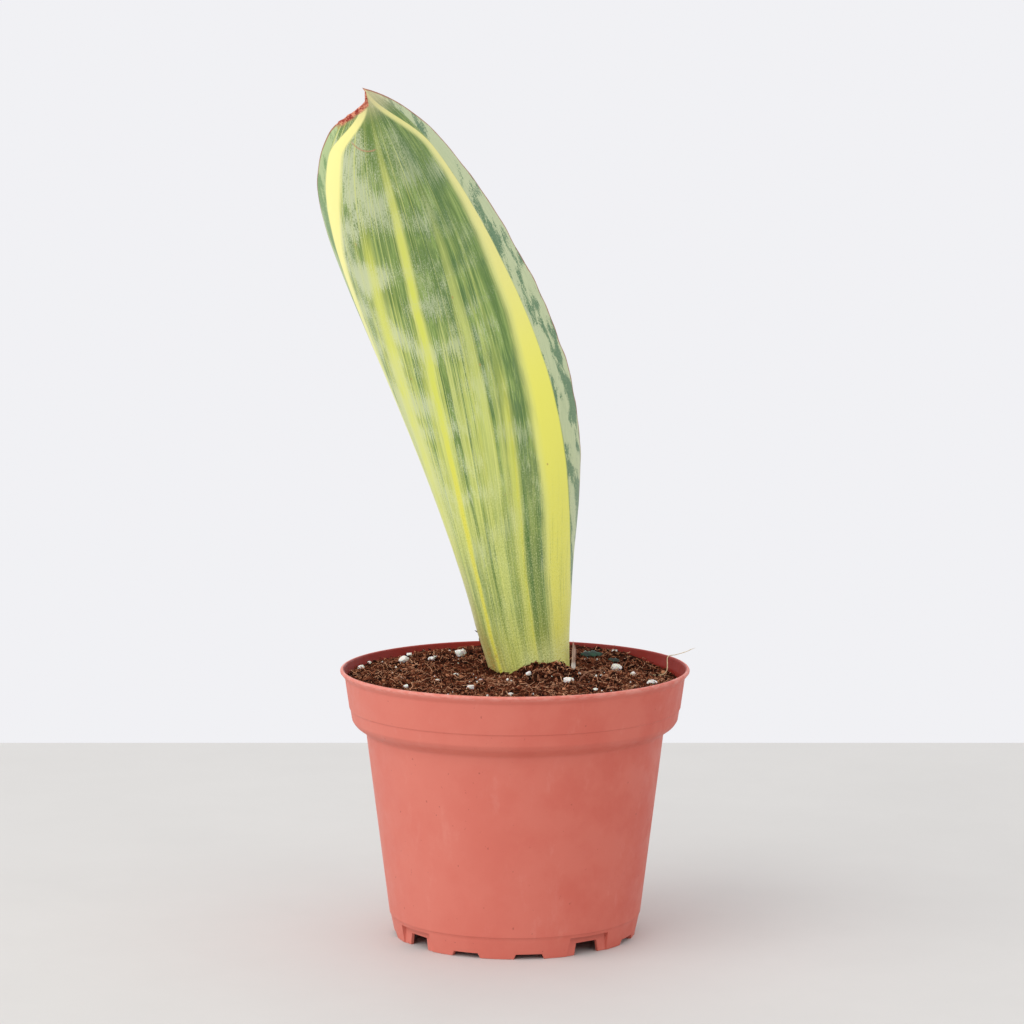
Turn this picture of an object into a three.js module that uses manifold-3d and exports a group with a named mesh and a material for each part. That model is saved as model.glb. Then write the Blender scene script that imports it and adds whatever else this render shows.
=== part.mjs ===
// A potted snake plant: one broad variegated leaf on a short rooted rhizome, planted in
// coir and perlite in a thin-walled plastic grower's pot.
// Millimetres, +Z up. The pot's axis is the Z axis, the pot stands on z = 0, front is -Y.
import * as THREE from "three";
import { mergeVertices } from "three/addons/utils/BufferGeometryUtils.js";
import Module from "manifold-3d";

const wasm = await Module();
wasm.setup();

// ---------- driving sizes ----------
const clearance = 0.3;

// pot
const rimRadius = 60;
const potHeight = 92.5;
const footRadius = 41.5;
const wallThickness = 1;
const lipOverhang = 1.6;
const lipThickness = 1.5;
const lipHeight = 2.9;
const bandHeight = 17.5;
const bandTaper = 2.4;
const bandStepHeight = 4.2;
const bandStep = 0.35;
const bandStepTaper = 0.6;
const shoulderOverhang = 4.8;
const shoulderHeight = 4.3;
const shoulderRound = 1.1;
const footBandHeight = 7.8;
const footBandFlare = 1.6;
const footBandStep = 0.3;
const footThickness = 1.9;
const floorHeight = 4.5;
const floorThickness = 1.4;
const floorCorner = 0.4;
const potSegments = 72;

// notches round the foot; every third one is a tall drain notch in a flat panel
const notchCount = 12;
const firstNotchBearing = 6.5;
const tallNotchOffset = 1;
const notchWidth = 10.4;
const notchEndSlope = 0.8;
const lowNotchHeight = 1.7;
const tallNotchHeight = 4;
const panelWidth = 17;
const panelHeight = 6.5;
const panelDepth = 1.1;

// drain holes in the floor
const drainHoleRadius = 3.5;
const drainHoleCount = 8;
const drainRingRadius = 27;

// potting mix
const mixDepthBelowRim = 2.6;
const heapHeight = 4.4;
const heapSpread = 7.5;
const dipDepth = 1.2;
const hollowDepth = 3;
const hollowSpread = 13;
const crestHeight = 2.3;
const crestSpread = 21;

// leaf
const plantingDepth = 15;
const leafRise = 215.5;
const leafLean = 62.3;
const leafForward = 54;
const leafHalfWidth = 54;
const leafBase = new THREE.Vector2(13.8, 4);
const leafBaseThickness = 8;
const leafTipThickness = 2.6;
const leafMarginThickness = 1.3;
const footNarrowing = 0.31;
const footNarrowingEnd = 0.16;
const tearStart = 0.945;
const tearLength = 0.04;
const tearDepth = 0.85;
const tearSharpness = 2.8;

// rhizome and roots
const rhizomeRadius = 6.5;
const rhizomeLength = 22;
const rootRadius = 1.1;
const rootBearings = [-105, -35, -150, 150, 35, 105];
const rootSpreadShare = 0.8;
const rootEndShare = 0.095;
const rootEndStepShare = 0.107;
const rootDropShare = 0.109;
const rootCount = rootBearings.length;

// ---------- geometry helpers ----------
function toSolid(geometry) {
  const bare = geometry.clone();
  bare.deleteAttribute("normal");
  bare.deleteAttribute("uv");
  const merged = mergeVertices(bare, 1e-4);
  return new wasm.Manifold(new wasm.Mesh({
    numProp: 3,
    vertProperties: new Float32Array(merged.attributes.position.array),
    triVerts: new Uint32Array(merged.index.array),
  }));
}

function toGeometry(solid) {
  const mesh = solid.getMesh();
  const geometry = new THREE.BufferGeometry();
  geometry.setAttribute("position", new THREE.BufferAttribute(mesh.vertProperties, 3));
  geometry.setIndex(new THREE.BufferAttribute(mesh.triVerts, 1));
  geometry.computeVertexNormals();
  return geometry;
}

function cut(base, tools) {
  let solid = toSolid(base);
  for (const tool of tools) {
    solid = solid.subtract(toSolid(tool));
  }
  return toGeometry(solid);
}

// a many-sided section swept along a smooth curve through the given points
function tube(points, radius, sides, steps) {
  const corners = Array.from({ length: sides }, (_, k) => {
    const angle = (2 * Math.PI * k) / sides;
    return new THREE.Vector2(radius * Math.cos(angle), radius * Math.sin(angle));
  });
  return new THREE.ExtrudeGeometry(new THREE.Shape(corners), {
    steps,
    extrudePath: new THREE.CatmullRomCurve3(points),
    bevelEnabled: false,
  });
}

// a closed sheet from two grids of points, front and back, with the same rows and columns
function closedSheet(front, back) {
  const rows = front.length;
  const columns = front[0].length;
  const corners = [...front.flat(), ...back.flat()];
  const backStart = rows * columns;
  const faces = [];
  const quad = (a, b, c, d) => faces.push(a, b, c, a, c, d);
  for (let i = 0; i < rows - 1; i++) {
    for (let j = 0; j < columns - 1; j++) {
      const k = i * columns + j;
      quad(k, k + 1, k + columns + 1, k + columns);
      const m = backStart + k;
      quad(m, m + columns, m + columns + 1, m + 1);
    }
    const left = i * columns;
    quad(left, left + columns, backStart + left + columns, backStart + left);
    const right = left + columns - 1;
    quad(right, backStart + right, backStart + right + columns, right + columns);
  }
  for (let j = 0; j < columns - 1; j++) {
    quad(j, backStart + j, backStart + j + 1, j + 1);
    const top = (rows - 1) * columns + j;
    quad(top, top + 1, backStart + top + 1, backStart + top);
  }
  const geometry = new THREE.BufferGeometry();
  geometry.setAttribute("position", new THREE.Float32BufferAttribute(
    corners.flatMap((p) => [p.x, p.y, p.z]), 3));
  geometry.setIndex(faces);
  geometry.computeVertexNormals();
  return geometry;
}

// the direction at a bearing in degrees, measured from the front (-Y) toward +X
function atBearing(degrees, radius, z) {
  const angle = THREE.MathUtils.degToRad(degrees);
  return new THREE.Vector3(radius * Math.sin(angle), -radius * Math.cos(angle), z);
}

// Bernstein polynomial of the control values at u
function bezier(values, u) {
  const n = values.length - 1;
  let term = (1 - u) ** n;
  let sum = 0;
  for (let i = 0; i <= n; i++) {
    sum += term * values[i];
    term *= ((n - i) / (i + 1)) * (u / (1 - u));
  }
  return sum;
}

function bezierSlope(values, u) {
  const n = values.length - 1;
  return n * bezier(values.slice(1).map((value, i) => value - values[i]), u);
}

// a small repeatable number from 0 to 1 for each pair of whole numbers
function scatter(i, k) {
  const value = Math.sin(i * 127.1 + k * 311.7) * 43758.5453;
  return value - Math.floor(value);
}

// ---------- pot ----------
const bandTopRadius = rimRadius - lipOverhang;
const bandBottomRadius = bandTopRadius - bandTaper;
const wallTopRadius = bandBottomRadius - shoulderOverhang;
const wallBottomRadius = footRadius + footBandFlare + footBandStep;
const bandBottom = potHeight - bandHeight;
const bandStepZ = bandBottom + bandStepHeight;
const lipBottom = potHeight - lipHeight;
const wallTop = bandBottom - shoulderHeight;
const floorTop = floorHeight + floorThickness;

// inside of the pot from the floor up to the lip, moved inward by an extra distance
function insideProfile(extra) {
  const inset = wallThickness + extra;
  const lift = wallThickness * 0.6 - extra * 0.5;
  return [
    new THREE.Vector2(wallBottomRadius - floorCorner - inset, floorTop + extra),
    new THREE.Vector2(wallTopRadius - inset, wallTop + lift),
    new THREE.Vector2(bandBottomRadius - shoulderRound - inset, bandBottom - 0.7 * shoulderRound + lift),
    new THREE.Vector2(bandBottomRadius - inset, bandBottom + shoulderRound + lift),
    new THREE.Vector2(bandTopRadius - inset, lipBottom - lipThickness / 2),
  ];
}

function insideRadius(z, extra) {
  const profile = insideProfile(extra);
  let k = 0;
  while (k < profile.length - 2 && z > profile[k + 1].y) {
    k++;
  }
  const share = (z - profile[k].y) / (profile[k + 1].y - profile[k].y);
  return THREE.MathUtils.lerp(profile[k].x, profile[k + 1].x, share);
}

function potShell() {
  const lipRadius = lipThickness / 2;
  const lipCentre = new THREE.Vector2(rimRadius - lipRadius, potHeight - lipRadius);
  const lip = [];
  for (let k = 0; k <= 6; k++) {
    const angle = Math.PI * (k / 6);
    lip.push(new THREE.Vector2(
      lipCentre.x + lipRadius * Math.cos(angle),
      lipCentre.y + lipRadius * Math.sin(angle),
    ));
  }
  const outline = [
    new THREE.Vector2(0, floorHeight),
    new THREE.Vector2(footRadius - footThickness, floorHeight),
    new THREE.Vector2(footRadius - footThickness, 0),
    new THREE.Vector2(footRadius, 0),
    new THREE.Vector2(footRadius + footBandFlare, footBandHeight - footBandStep),
    new THREE.Vector2(wallBottomRadius, footBandHeight),
    new THREE.Vector2(wallTopRadius, wallTop),
    new THREE.Vector2(bandBottomRadius - shoulderRound, bandBottom - 1.5 * shoulderRound),
    new THREE.Vector2(bandBottomRadius, bandBottom),
    new THREE.Vector2(bandBottomRadius + bandStepTaper, bandStepZ - bandStep),
    new THREE.Vector2(bandBottomRadius + bandStepTaper + bandStep, bandStepZ),
    new THREE.Vector2(bandTopRadius, lipBottom),
    ...lip,
    ...insideProfile(0).reverse(),
    new THREE.Vector2(0, floorTop),
  ];
  return new THREE.LatheGeometry(outline, potSegments).rotateX(Math.PI / 2);
}

// a block that runs outward along a bearing, narrower at its top than at the ground
function radialBlock(bearing, width, height, near, far) {
  const below = 1;
  const outline = new THREE.Shape([
    new THREE.Vector2(-width / 2 - notchEndSlope * (below / height), -below),
    new THREE.Vector2(width / 2 + notchEndSlope * (below / height), -below),
    new THREE.Vector2(width / 2 - notchEndSlope, height),
    new THREE.Vector2(-width / 2 + notchEndSlope, height),
  ]);
  const block = new THREE.ExtrudeGeometry(outline, { depth: far - near, bevelEnabled: false });
  return block
    .rotateX(Math.PI / 2)
    .translate(0, -near, 0)
    .rotateZ(THREE.MathUtils.degToRad(bearing));
}

function potCuts() {
  const tools = [];
  const outside = rimRadius;
  const footInside = footRadius - footThickness;
  for (let k = 0; k < notchCount; k++) {
    const bearing = firstNotchBearing + k * (360 / notchCount);
    const tall = k % 3 === tallNotchOffset;
    const height = tall ? tallNotchHeight : lowNotchHeight;
    tools.push(radialBlock(bearing, notchWidth, height, footInside - 3, outside));
    if (tall) {
      tools.push(radialBlock(bearing, panelWidth, panelHeight, footRadius - panelDepth, outside));
    }
  }
  for (let k = 0; k <= drainHoleCount; k++) {
    const centre = atBearing(k * (360 / drainHoleCount), k === 0 ? 0 : drainRingRadius, 0);
    const hole = new THREE.CylinderGeometry(drainHoleRadius, drainHoleRadius, floorTop * 2, 16);
    tools.push(hole.rotateX(Math.PI / 2).translate(centre.x, centre.y, floorTop));
  }
  return tools;
}

// ---------- potting mix ----------
const mixLevel = potHeight - mixDepthBelowRim;

function bump(x, y, centreX, centreY, spread) {
  return Math.exp(-((x - centreX) ** 2 + (y - centreY) ** 2) / (2 * spread ** 2));
}

function mixHeight(x, y) {
  const heap = heapHeight * bump(x, y, leafBase.x - 2, leafBase.y - 8, heapSpread);
  const dip = dipDepth * bump(x, y, leafBase.x - 21, leafBase.y - 6, heapSpread);
  const hollow = hollowDepth * bump(x, y, 0.8 * rimRadius, 0.23 * rimRadius, hollowSpread);
  const crest = crestHeight * bump(x, y, 0.17 * rimRadius, 0.83 * rimRadius, crestSpread);
  const waves = 0.4 * Math.sin(0.19 * x + 0.6) * Math.cos(0.16 * y - 0.4);
  return mixLevel + heap + crest - dip - hollow + waves;
}

function mixBlock() {
  const segments = 48;
  const sideRings = insideProfile(clearance).slice(0, 4);
  const topShares = [1, 0.92, 0.8, 0.66, 0.52, 0.38, 0.24, 0.12];
  const points = [0, 0, floorTop + clearance];
  const rings = sideRings.length + topShares.length;
  for (let ring = 0; ring < rings; ring++) {
    for (let k = 0; k < segments; k++) {
      const bearing = k * (360 / segments);
      if (ring < sideRings.length) {
        const place = atBearing(bearing, sideRings[ring].x, sideRings[ring].y);
        points.push(place.x, place.y, place.z);
      } else {
        const edge = insideRadius(mixLevel - hollowDepth, clearance);
        const place = atBearing(bearing, edge * topShares[ring - sideRings.length], 0);
        points.push(place.x, place.y, mixHeight(place.x, place.y));
      }
    }
  }
  points.push(0, 0, mixHeight(0, 0));
  const last = points.length / 3 - 1;
  const faces = [];
  for (let k = 0; k < segments; k++) {
    const next = (k + 1) % segments;
    faces.push(0, 1 + next, 1 + k);
    for (let ring = 0; ring < rings - 1; ring++) {
      const low = 1 + ring * segments;
      const high = low + segments;
      faces.push(low + k, low + next, high + next, low + k, high + next, high + k);
    }
    const inner = 1 + (rings - 1) * segments;
    faces.push(inner + k, inner + next, last);
  }
  const geometry = new THREE.BufferGeometry();
  geometry.setAttribute("position", new THREE.Float32BufferAttribute(points, 3));
  geometry.setIndex(faces);
  return geometry;
}

// ---------- leaf ----------
// The midline, the half width, the curl and the roll are Bezier curves of u, which runs
// from 0 at the buried base to 1 at the tip; v runs from -1 at the left margin to 1.
const leafBaseZ = mixLevel - plantingDepth;
const midlineX = [0, -0.296, -0.438, -0.784, -1].map((share) => leafBase.x + leafLean * share);
const midlineY = [0, -0.16, -0.14, -1].map((share) => leafBase.y + leafForward * share);
const midlineZ = [0, 0.349, 0.559, 1].map((share) => leafBaseZ + leafRise * share);
const halfWidth = [0.667, 0.296, 1.176, 0.935, 0.691, 1.257].map((share) => leafHalfWidth * share);
const curl = [2.0, 1.89, 1.01, 1.74, 1.01];
const roll = [-0.47, 0.46, 0.6, 0.32, -0.29];
const tipRoundness = 0.94;

function leafFrame(u) {
  const centre = new THREE.Vector3(bezier(midlineX, u), bezier(midlineY, u), bezier(midlineZ, u));
  const along = new THREE.Vector3(
    bezierSlope(midlineX, u),
    bezierSlope(midlineY, u),
    bezierSlope(midlineZ, u),
  ).normalize();
  const across = new THREE.Vector3(0, 1, 0).cross(along).normalize();
  const outward = across.clone().cross(along);
  const turn = bezier(roll, u);
  const side = across.clone().multiplyScalar(Math.cos(turn)).addScaledVector(outward, Math.sin(turn));
  const normal = outward.multiplyScalar(Math.cos(turn)).addScaledVector(across, -Math.sin(turn));
  return { centre, along, side, normal };
}

// the leaf narrows to its foot and rounds off to its tip
function leafWidth(u) {
  const foot = 1 - footNarrowing * Math.max(0, 1 - u / footNarrowingEnd) ** 1.5;
  return bezier(halfWidth, u) * foot * (1 - u ** 6) ** tipRoundness;
}

// the left margin is torn back near the tip
function tornShare(u) {
  return 1 - tearDepth * THREE.MathUtils.clamp((u - tearStart) / tearLength, 0, 1) ** tearSharpness;
}

function leafPoint(u, v, grow, inner) {
  const { centre, side, normal } = leafFrame(u);
  const width = leafWidth(u);
  const bend = bezier(curl, u);
  const radius = width / bend;
  const reach = v < 0 ? tornShare(u) : 1;
  const angle = bend * v * reach + Math.sign(v) * Math.abs(v) ** 8 * (grow / radius);
  const facing = normal.clone().multiplyScalar(Math.cos(angle)).addScaledVector(side, Math.sin(angle));
  const ridge = leafTipThickness + (leafBaseThickness - leafTipThickness) * (1 - u) ** 3;
  const thickness = leafMarginThickness + (ridge - leafMarginThickness) * (1 - v * v);
  const depth = inner ? -thickness * (width / (width + 2)) - grow : grow;
  return centre.clone()
    .addScaledVector(normal, -radius)
    .addScaledVector(facing, radius + depth);
}

function leafSheet(rows, columns, uEnd, grow) {
  const front = [];
  const back = [];
  const drop = leafFrame(0).along.multiplyScalar(-grow);
  for (let i = 0; i <= rows; i++) {
    const u = uEnd * (1 - (1 - i / rows) ** 1.35);
    const shift = i === 0 ? drop : new THREE.Vector3();
    const vs = Array.from({ length: columns + 1 }, (_, j) => -1 + (2 * j) / columns);
    front.push(vs.map((v) => leafPoint(u, v, grow, false).add(shift)));
    back.push(vs.map((v) => leafPoint(u, v, grow, true).add(shift)));
  }
  return closedSheet(front, back);
}

// ---------- rhizome and roots ----------
const base = leafFrame(0);
const rhizomeCentre = base.centre.clone()
  .addScaledVector(base.normal, -0.55 * leafBaseThickness)
  .addScaledVector(base.along, -(rhizomeRadius + clearance));

function rhizomeBody(grow) {
  const body = new THREE.CapsuleGeometry(rhizomeRadius + grow, rhizomeLength, 4, 12);
  const turn = new THREE.Quaternion().setFromUnitVectors(new THREE.Vector3(0, 1, 0), base.side);
  return body.applyQuaternion(turn).translate(rhizomeCentre.x, rhizomeCentre.y, rhizomeCentre.z);
}

function rootPoints(k) {
  const along = rhizomeLength * (k / (rootCount - 1) - 0.5);
  const start = rhizomeCentre.clone()
    .addScaledVector(base.side, along)
    .addScaledVector(base.along, -(rhizomeRadius + 2 * clearance));
  const bearing = rootBearings[k];
  const spread = rootSpreadShare * footRadius;
  const endShare = rootEndShare + (k % 3) * rootEndStepShare;
  const endZ = THREE.MathUtils.lerp(floorTop, mixLevel, endShare);
  const end = atBearing(bearing, spread, endZ);
  const turn = atBearing(bearing + 8, spread * rootSpreadShare, (start.z + endZ) / 2);
  const below = start.clone().addScaledVector(base.along, rootDropShare * (floorTop - start.z));
  return [start, below, turn, end];
}

// ---------- loose pieces on the mix ----------
// perlite chips near the rim: bearing in degrees, share of the mix's radius, size in mm
const outerChips = [
  [-102, 0.95, 2.8],
  [-113, 0.96, 2.2],
  [-136, 0.94, 2.6],
  [-123, 0.81, 4.5],
  [-135.5, 0.73, 3.2],
  [-153, 0.735, 3.8],
  [-55, 0.78, 1.8],
  [-66, 0.51, 2.1],
  [-27, 0.57, 3.4],
  [-2, 0.73, 2.1],
  [41, 0.72, 1.8],
  [139, 0.94, 2.4],
  [117, 0.7, 4.4],
  [107, 0.75, 2.8],
  [69, 0.86, 4.1],
];
// and near the leaf: distance to its right, distance behind its foot, size in mm
const innerChips = [
  [-34, -5.8, 2.1],
  [-9.3, -14, 2.4],
  [8.1, -12.5, 1.8],
  [4.6, -23.5, 4.1],
  [-25.4, -18.8, 1.8],
];

const mixRadius = insideRadius(mixLevel, clearance);
const chips = [
  ...outerChips.map(([bearing, share, size]) => (
    { place: atBearing(bearing, share * mixRadius, 0), size })),
  ...innerChips.map(([right, behind, size]) => (
    { place: new THREE.Vector3(leafBase.x + right, leafBase.y + behind, 0), size })),
];

function chipGeometry(index, grow) {
  const { place, size } = chips[index];
  const chip = new THREE.IcosahedronGeometry(1, 0);
  const corners = chip.attributes.position;
  const corner = new THREE.Vector3();
  for (let k = 0; k < corners.count; k++) {
    corner.fromBufferAttribute(corners, k);
    const key = Math.round(corner.x * 3 + corner.y * 5 + corner.z * 7);
    const stretch = 0.78 + 0.44 * scatter(index, key);
    corner.multiplyScalar(stretch * (size / 2) + grow);
    corners.setXYZ(k, corner.x, corner.y, corner.z * 0.8);
  }
  chip.rotateZ(index * 1.7);
  return chip.translate(place.x, place.y, mixHeight(place.x, place.y) + size * 0.12);
}

// a point above the mix
function overMix(x, y, lift) {
  return new THREE.Vector3(x, y, mixHeight(x, y) + lift);
}

const strandRadius = 0.35;
const rimCrossing = atBearing(107, rimRadius, potHeight + strandRadius + 2 * clearance);
const strands = {
  pale_root: [
    overMix(0.79 * rimRadius, 0.25 * rimRadius, 0),
    overMix(0.845 * rimRadius, 0.215 * rimRadius, 0.3),
    overMix(0.88 * rimRadius, 0.225 * rimRadius, 2),
    rimCrossing.clone().add(new THREE.Vector3(-4, 0.2, -0.3)),
    rimCrossing.clone().add(new THREE.Vector3(-0.6, 0.3, 0.6)),
    rimCrossing.clone().add(new THREE.Vector3(5.8, 1.4, 2.6)),
  ],
  brown_root: [
    overMix(leafBase.x + 7, leafBase.y - 30, 0.5),
    overMix(leafBase.x + 9.5, leafBase.y - 19, 1.1),
    overMix(leafBase.x + 12.5, leafBase.y - 5, 0.9),
    overMix(leafBase.x + 16.5, leafBase.y + 6, 0.3),
  ],
  dry_curl: [
    overMix(-0.188 * rimRadius, 0.667 * rimRadius, -3),
    overMix(-0.193 * rimRadius, 0.667 * rimRadius, 2.8),
    overMix(-0.21 * rimRadius, 0.658 * rimRadius, 5.4),
    overMix(-0.197 * rimRadius, 0.65 * rimRadius, 7),
    overMix(-0.237 * rimRadius, 0.65 * rimRadius, 8.6),
  ],
};

function strandBody(name, grow) {
  return tube(strands[name], strandRadius + 1.2 * grow, 6, 12);
}

// scraps of leaf: place, half length and bearing
const scraps = {
  leaf_scrap_1: { x: 0.45 * rimRadius, y: 0.53 * rimRadius, half: 3.9, turn: 0.1 },
  leaf_scrap_2: { x: 0.58 * rimRadius, y: 0.46 * rimRadius, half: 2.3, turn: -0.5 },
};

function scrapBody(name, grow) {
  const { x, y, half, turn } = scraps[name];
  const scrap = new THREE.OctahedronGeometry(1, 1);
  scrap.scale(half + grow, half * 0.32 + grow, 0.7 + grow);
  return scrap.rotateZ(turn).translate(x, y, mixHeight(x, y) + 0.5);
}

// a dry papery sheath standing at the right of the leaf's foot
const sheathWidth = 2.2;
const sheathHeight = 10;
const sheathThickness = 0.6;
const sheathBuried = 4;
const sheathPlace = new THREE.Vector2(leafBase.x + 6.2, leafBase.y + 5);

function sheathBody(grow) {
  const front = [];
  const back = [];
  const rows = 8;
  const columns = 4;
  for (let i = 0; i <= rows; i++) {
    const share = i / rows;
    const end = i === 0 ? -grow : 0;
    const z = mixLevel - sheathBuried + (sheathBuried + sheathHeight) * share + end;
    const half = (sheathWidth / 2) * (1 - 0.45 * share ** 2) + grow;
    const middle = new THREE.Vector2(sheathPlace.x + 0.6 * share, sheathPlace.y);
    const frontRow = [];
    const backRow = [];
    for (let j = 0; j <= columns; j++) {
      const across = -half + (2 * half * j) / columns;
      const bow = 0.12 * across ** 2 + 0.3 * Math.sin(5 * share);
      frontRow.push(new THREE.Vector3(
        middle.x + across * 0.8,
        middle.y + across * 0.6 + bow - sheathThickness / 2 - grow,
        z,
      ));
      backRow.push(new THREE.Vector3(
        middle.x + across * 0.8,
        middle.y + across * 0.6 + bow + sheathThickness / 2 + grow,
        z,
      ));
    }
    front.push(frontRow);
    back.push(backRow);
  }
  return closedSheet(front, back);
}

// ---------- assembly ----------
const plant = new THREE.Group();

function add(name, geometry, color, roughness) {
  const material = new THREE.MeshStandardMaterial({ color, roughness, metalness: 0 });
  const mesh = new THREE.Mesh(geometry, material);
  mesh.name = name;
  plant.add(mesh);
}

const rootBodies = [];
const rootCuts = [];
for (let k = 0; k < rootCount; k++) {
  const points = rootPoints(k);
  const radius = rootRadius * (1 - 0.08 * (k % 3));
  rootBodies.push(tube(points, radius, 8, 10));
  rootCuts.push(tube(points, radius + 1.2 * clearance, 8, 10));
  for (const end of [points[0], points[3]]) {
    const room = new THREE.IcosahedronGeometry(radius + 3 * clearance, 1);
    rootCuts.push(room.translate(end.x, end.y, end.z));
  }
}

const mixCuts = [
  leafSheet(8, 14, 0.25, clearance),
  rhizomeBody(clearance),
  ...rootCuts,
  sheathBody(clearance),
  ...Object.keys(strands).map((name) => strandBody(name, clearance)),
  ...Object.keys(scraps).map((name) => scrapBody(name, clearance)),
  ...chips.map((_, index) => chipGeometry(index, clearance)),
];

add("pot", cut(potShell(), potCuts()), "#d9786a", 0.55);
add("potting_mix", cut(mixBlock(), mixCuts), "#4a2c22", 0.95);
add("leaf", leafSheet(30, 14, 0.995, 0), "#7d9a5a", 0.45);
add("dry_sheath", sheathBody(0), "#a08a72", 0.8);
add("rhizome", rhizomeBody(0), "#c9a05a", 0.7);
rootBodies.forEach((body, k) => add(`root_${k + 1}`, body, "#c79a5c", 0.8));
add("pale_root", strandBody("pale_root", 0), "#d9c9a3", 0.7);
add("brown_root", strandBody("brown_root", 0), "#8a5a45", 0.8);
add("dry_curl", strandBody("dry_curl", 0), "#3a2a26", 0.8);
add("leaf_scrap_1", scrapBody("leaf_scrap_1", 0), "#1f4a35", 0.5);
add("leaf_scrap_2", scrapBody("leaf_scrap_2", 0), "#1f4a35", 0.5);
chips.forEach((_, index) => {
  const name = `perlite_${String(index + 1).padStart(2, "0")}`;
  add(name, chipGeometry(index, 0), "#f2f0e8", 0.9);
});

export default plant;
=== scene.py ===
import math

import bmesh
import bpy
import numpy as np
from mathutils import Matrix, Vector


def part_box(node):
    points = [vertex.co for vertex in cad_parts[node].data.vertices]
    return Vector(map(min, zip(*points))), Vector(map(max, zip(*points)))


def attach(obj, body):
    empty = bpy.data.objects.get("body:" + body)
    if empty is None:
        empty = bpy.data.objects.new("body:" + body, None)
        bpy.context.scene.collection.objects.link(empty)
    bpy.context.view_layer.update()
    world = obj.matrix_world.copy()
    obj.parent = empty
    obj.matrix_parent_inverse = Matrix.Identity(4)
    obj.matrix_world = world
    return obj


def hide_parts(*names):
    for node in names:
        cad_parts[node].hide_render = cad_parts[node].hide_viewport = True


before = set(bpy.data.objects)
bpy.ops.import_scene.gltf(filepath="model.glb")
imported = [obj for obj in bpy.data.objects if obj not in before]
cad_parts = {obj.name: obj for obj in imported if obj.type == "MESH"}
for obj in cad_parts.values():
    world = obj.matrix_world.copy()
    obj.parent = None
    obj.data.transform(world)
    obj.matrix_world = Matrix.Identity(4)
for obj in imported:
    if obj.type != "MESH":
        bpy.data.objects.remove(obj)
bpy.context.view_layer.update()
scene = bpy.context.scene
scene.view_settings.view_transform = "Standard"
mm = 0.001
print("frame loaded:", len(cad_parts), "nodes")


# helpers: meshes

def gridFaces(rows, columns, wrap=False, start=0):
    # quads between neighbouring rows and columns; wrap closes each row on itself
    i, j = np.meshgrid(np.arange(rows - 1), np.arange(columns if wrap else columns - 1), indexing="ij")
    k = (j + 1) % columns
    quads = np.stack([i * columns + j, i * columns + k, (i + 1) * columns + k, (i + 1) * columns + j], -1)
    return quads.reshape(-1, 4) + start


def endFans(count, last):
    # triangles from the first row to corner last, and from the last row to the corner after it
    around = np.arange(count)
    nextOne = (around + 1) % count
    start = np.stack([np.full(count, last), nextOne, around], -1)
    end = np.stack([np.full(count, last + 1), last - count + around, last - count + nextOne], -1)
    return start, end


def copies(faces, count, stride):
    # the faces once for each of count pieces with stride corners each
    return (faces[None] + (np.arange(count) * stride)[:, None, None]).reshape(-1, faces.shape[1])


def circle(count):
    return np.linspace(0, 2 * math.pi, count, endpoint=False)


def makeMesh(name, corners, faceSets, material, values=None, sharpAngle=None):
    # corners in millimetres; values are named numbers or vectors, one for each corner
    mesh = bpy.data.meshes.new(name)
    loops = np.concatenate([faces.ravel() for faces in faceSets])
    sizes = np.concatenate([np.full(len(faces), faces.shape[1]) for faces in faceSets])
    mesh.vertices.add(len(corners))
    mesh.vertices.foreach_set("co", (corners * mm).astype(np.float32).ravel())
    mesh.loops.add(len(loops))
    mesh.loops.foreach_set("vertex_index", loops.astype(np.int32))
    mesh.polygons.add(len(sizes))
    mesh.polygons.foreach_set("loop_start", (np.cumsum(sizes) - sizes).astype(np.int32))
    mesh.update(calc_edges=True)
    mesh.validate()
    for label, numbers in (values or {}).items():
        kind = "FLOAT" if numbers.ndim == 1 else "FLOAT_VECTOR"
        layer = mesh.attributes.new(label, kind, "POINT")
        layer.data.foreach_set("value" if kind == "FLOAT" else "vector", numbers.astype(np.float32).ravel())
    mesh.polygons.foreach_set("use_smooth", np.ones(len(mesh.polygons), bool))
    if sharpAngle:
        mesh.set_sharp_from_angle(angle=math.radians(sharpAngle))
    mesh.materials.append(material)
    piece = bpy.data.objects.new(name, mesh)
    scene.collection.objects.link(piece)
    return piece


def place(piece, slot, *nodes):
    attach(piece, "root")
    if nodes:
        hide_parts(*nodes)
    return piece


def smoothStep(value, low, high):
    t = np.clip((value - low) / (high - low), 0, 1)
    return t * t * (3 - 2 * t)


def waveNoise(points, size, seed, octaves=3):
    # a sum of sine waves in random directions, finer and weaker with each octave, about -1 to 1
    draw = np.random.default_rng(seed)
    total = np.zeros(len(points))
    for octave in range(octaves):
        directions = draw.normal(size=(9, points.shape[1]))
        directions /= np.linalg.norm(directions, axis=1, keepdims=True)
        steps = directions * (2 ** octave * 2 * math.pi / size) * draw.uniform(0.7, 1.3, (9, 1))
        total += np.sin(points @ steps.T + draw.uniform(0, 6.28, 9)).sum(1) / (9 ** 0.5) * 0.5 ** octave
    return total * 0.6


# helpers: materials

def colour(code):
    # an sRGB colour code as linear red, green, blue and alpha
    parts = [int(code[k:k + 2], 16) / 255 for k in (1, 3, 5)]
    return tuple(p / 12.92 if p <= 0.04045 else ((p + 0.055) / 1.055) ** 2.4 for p in parts) + (1.0,)


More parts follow.
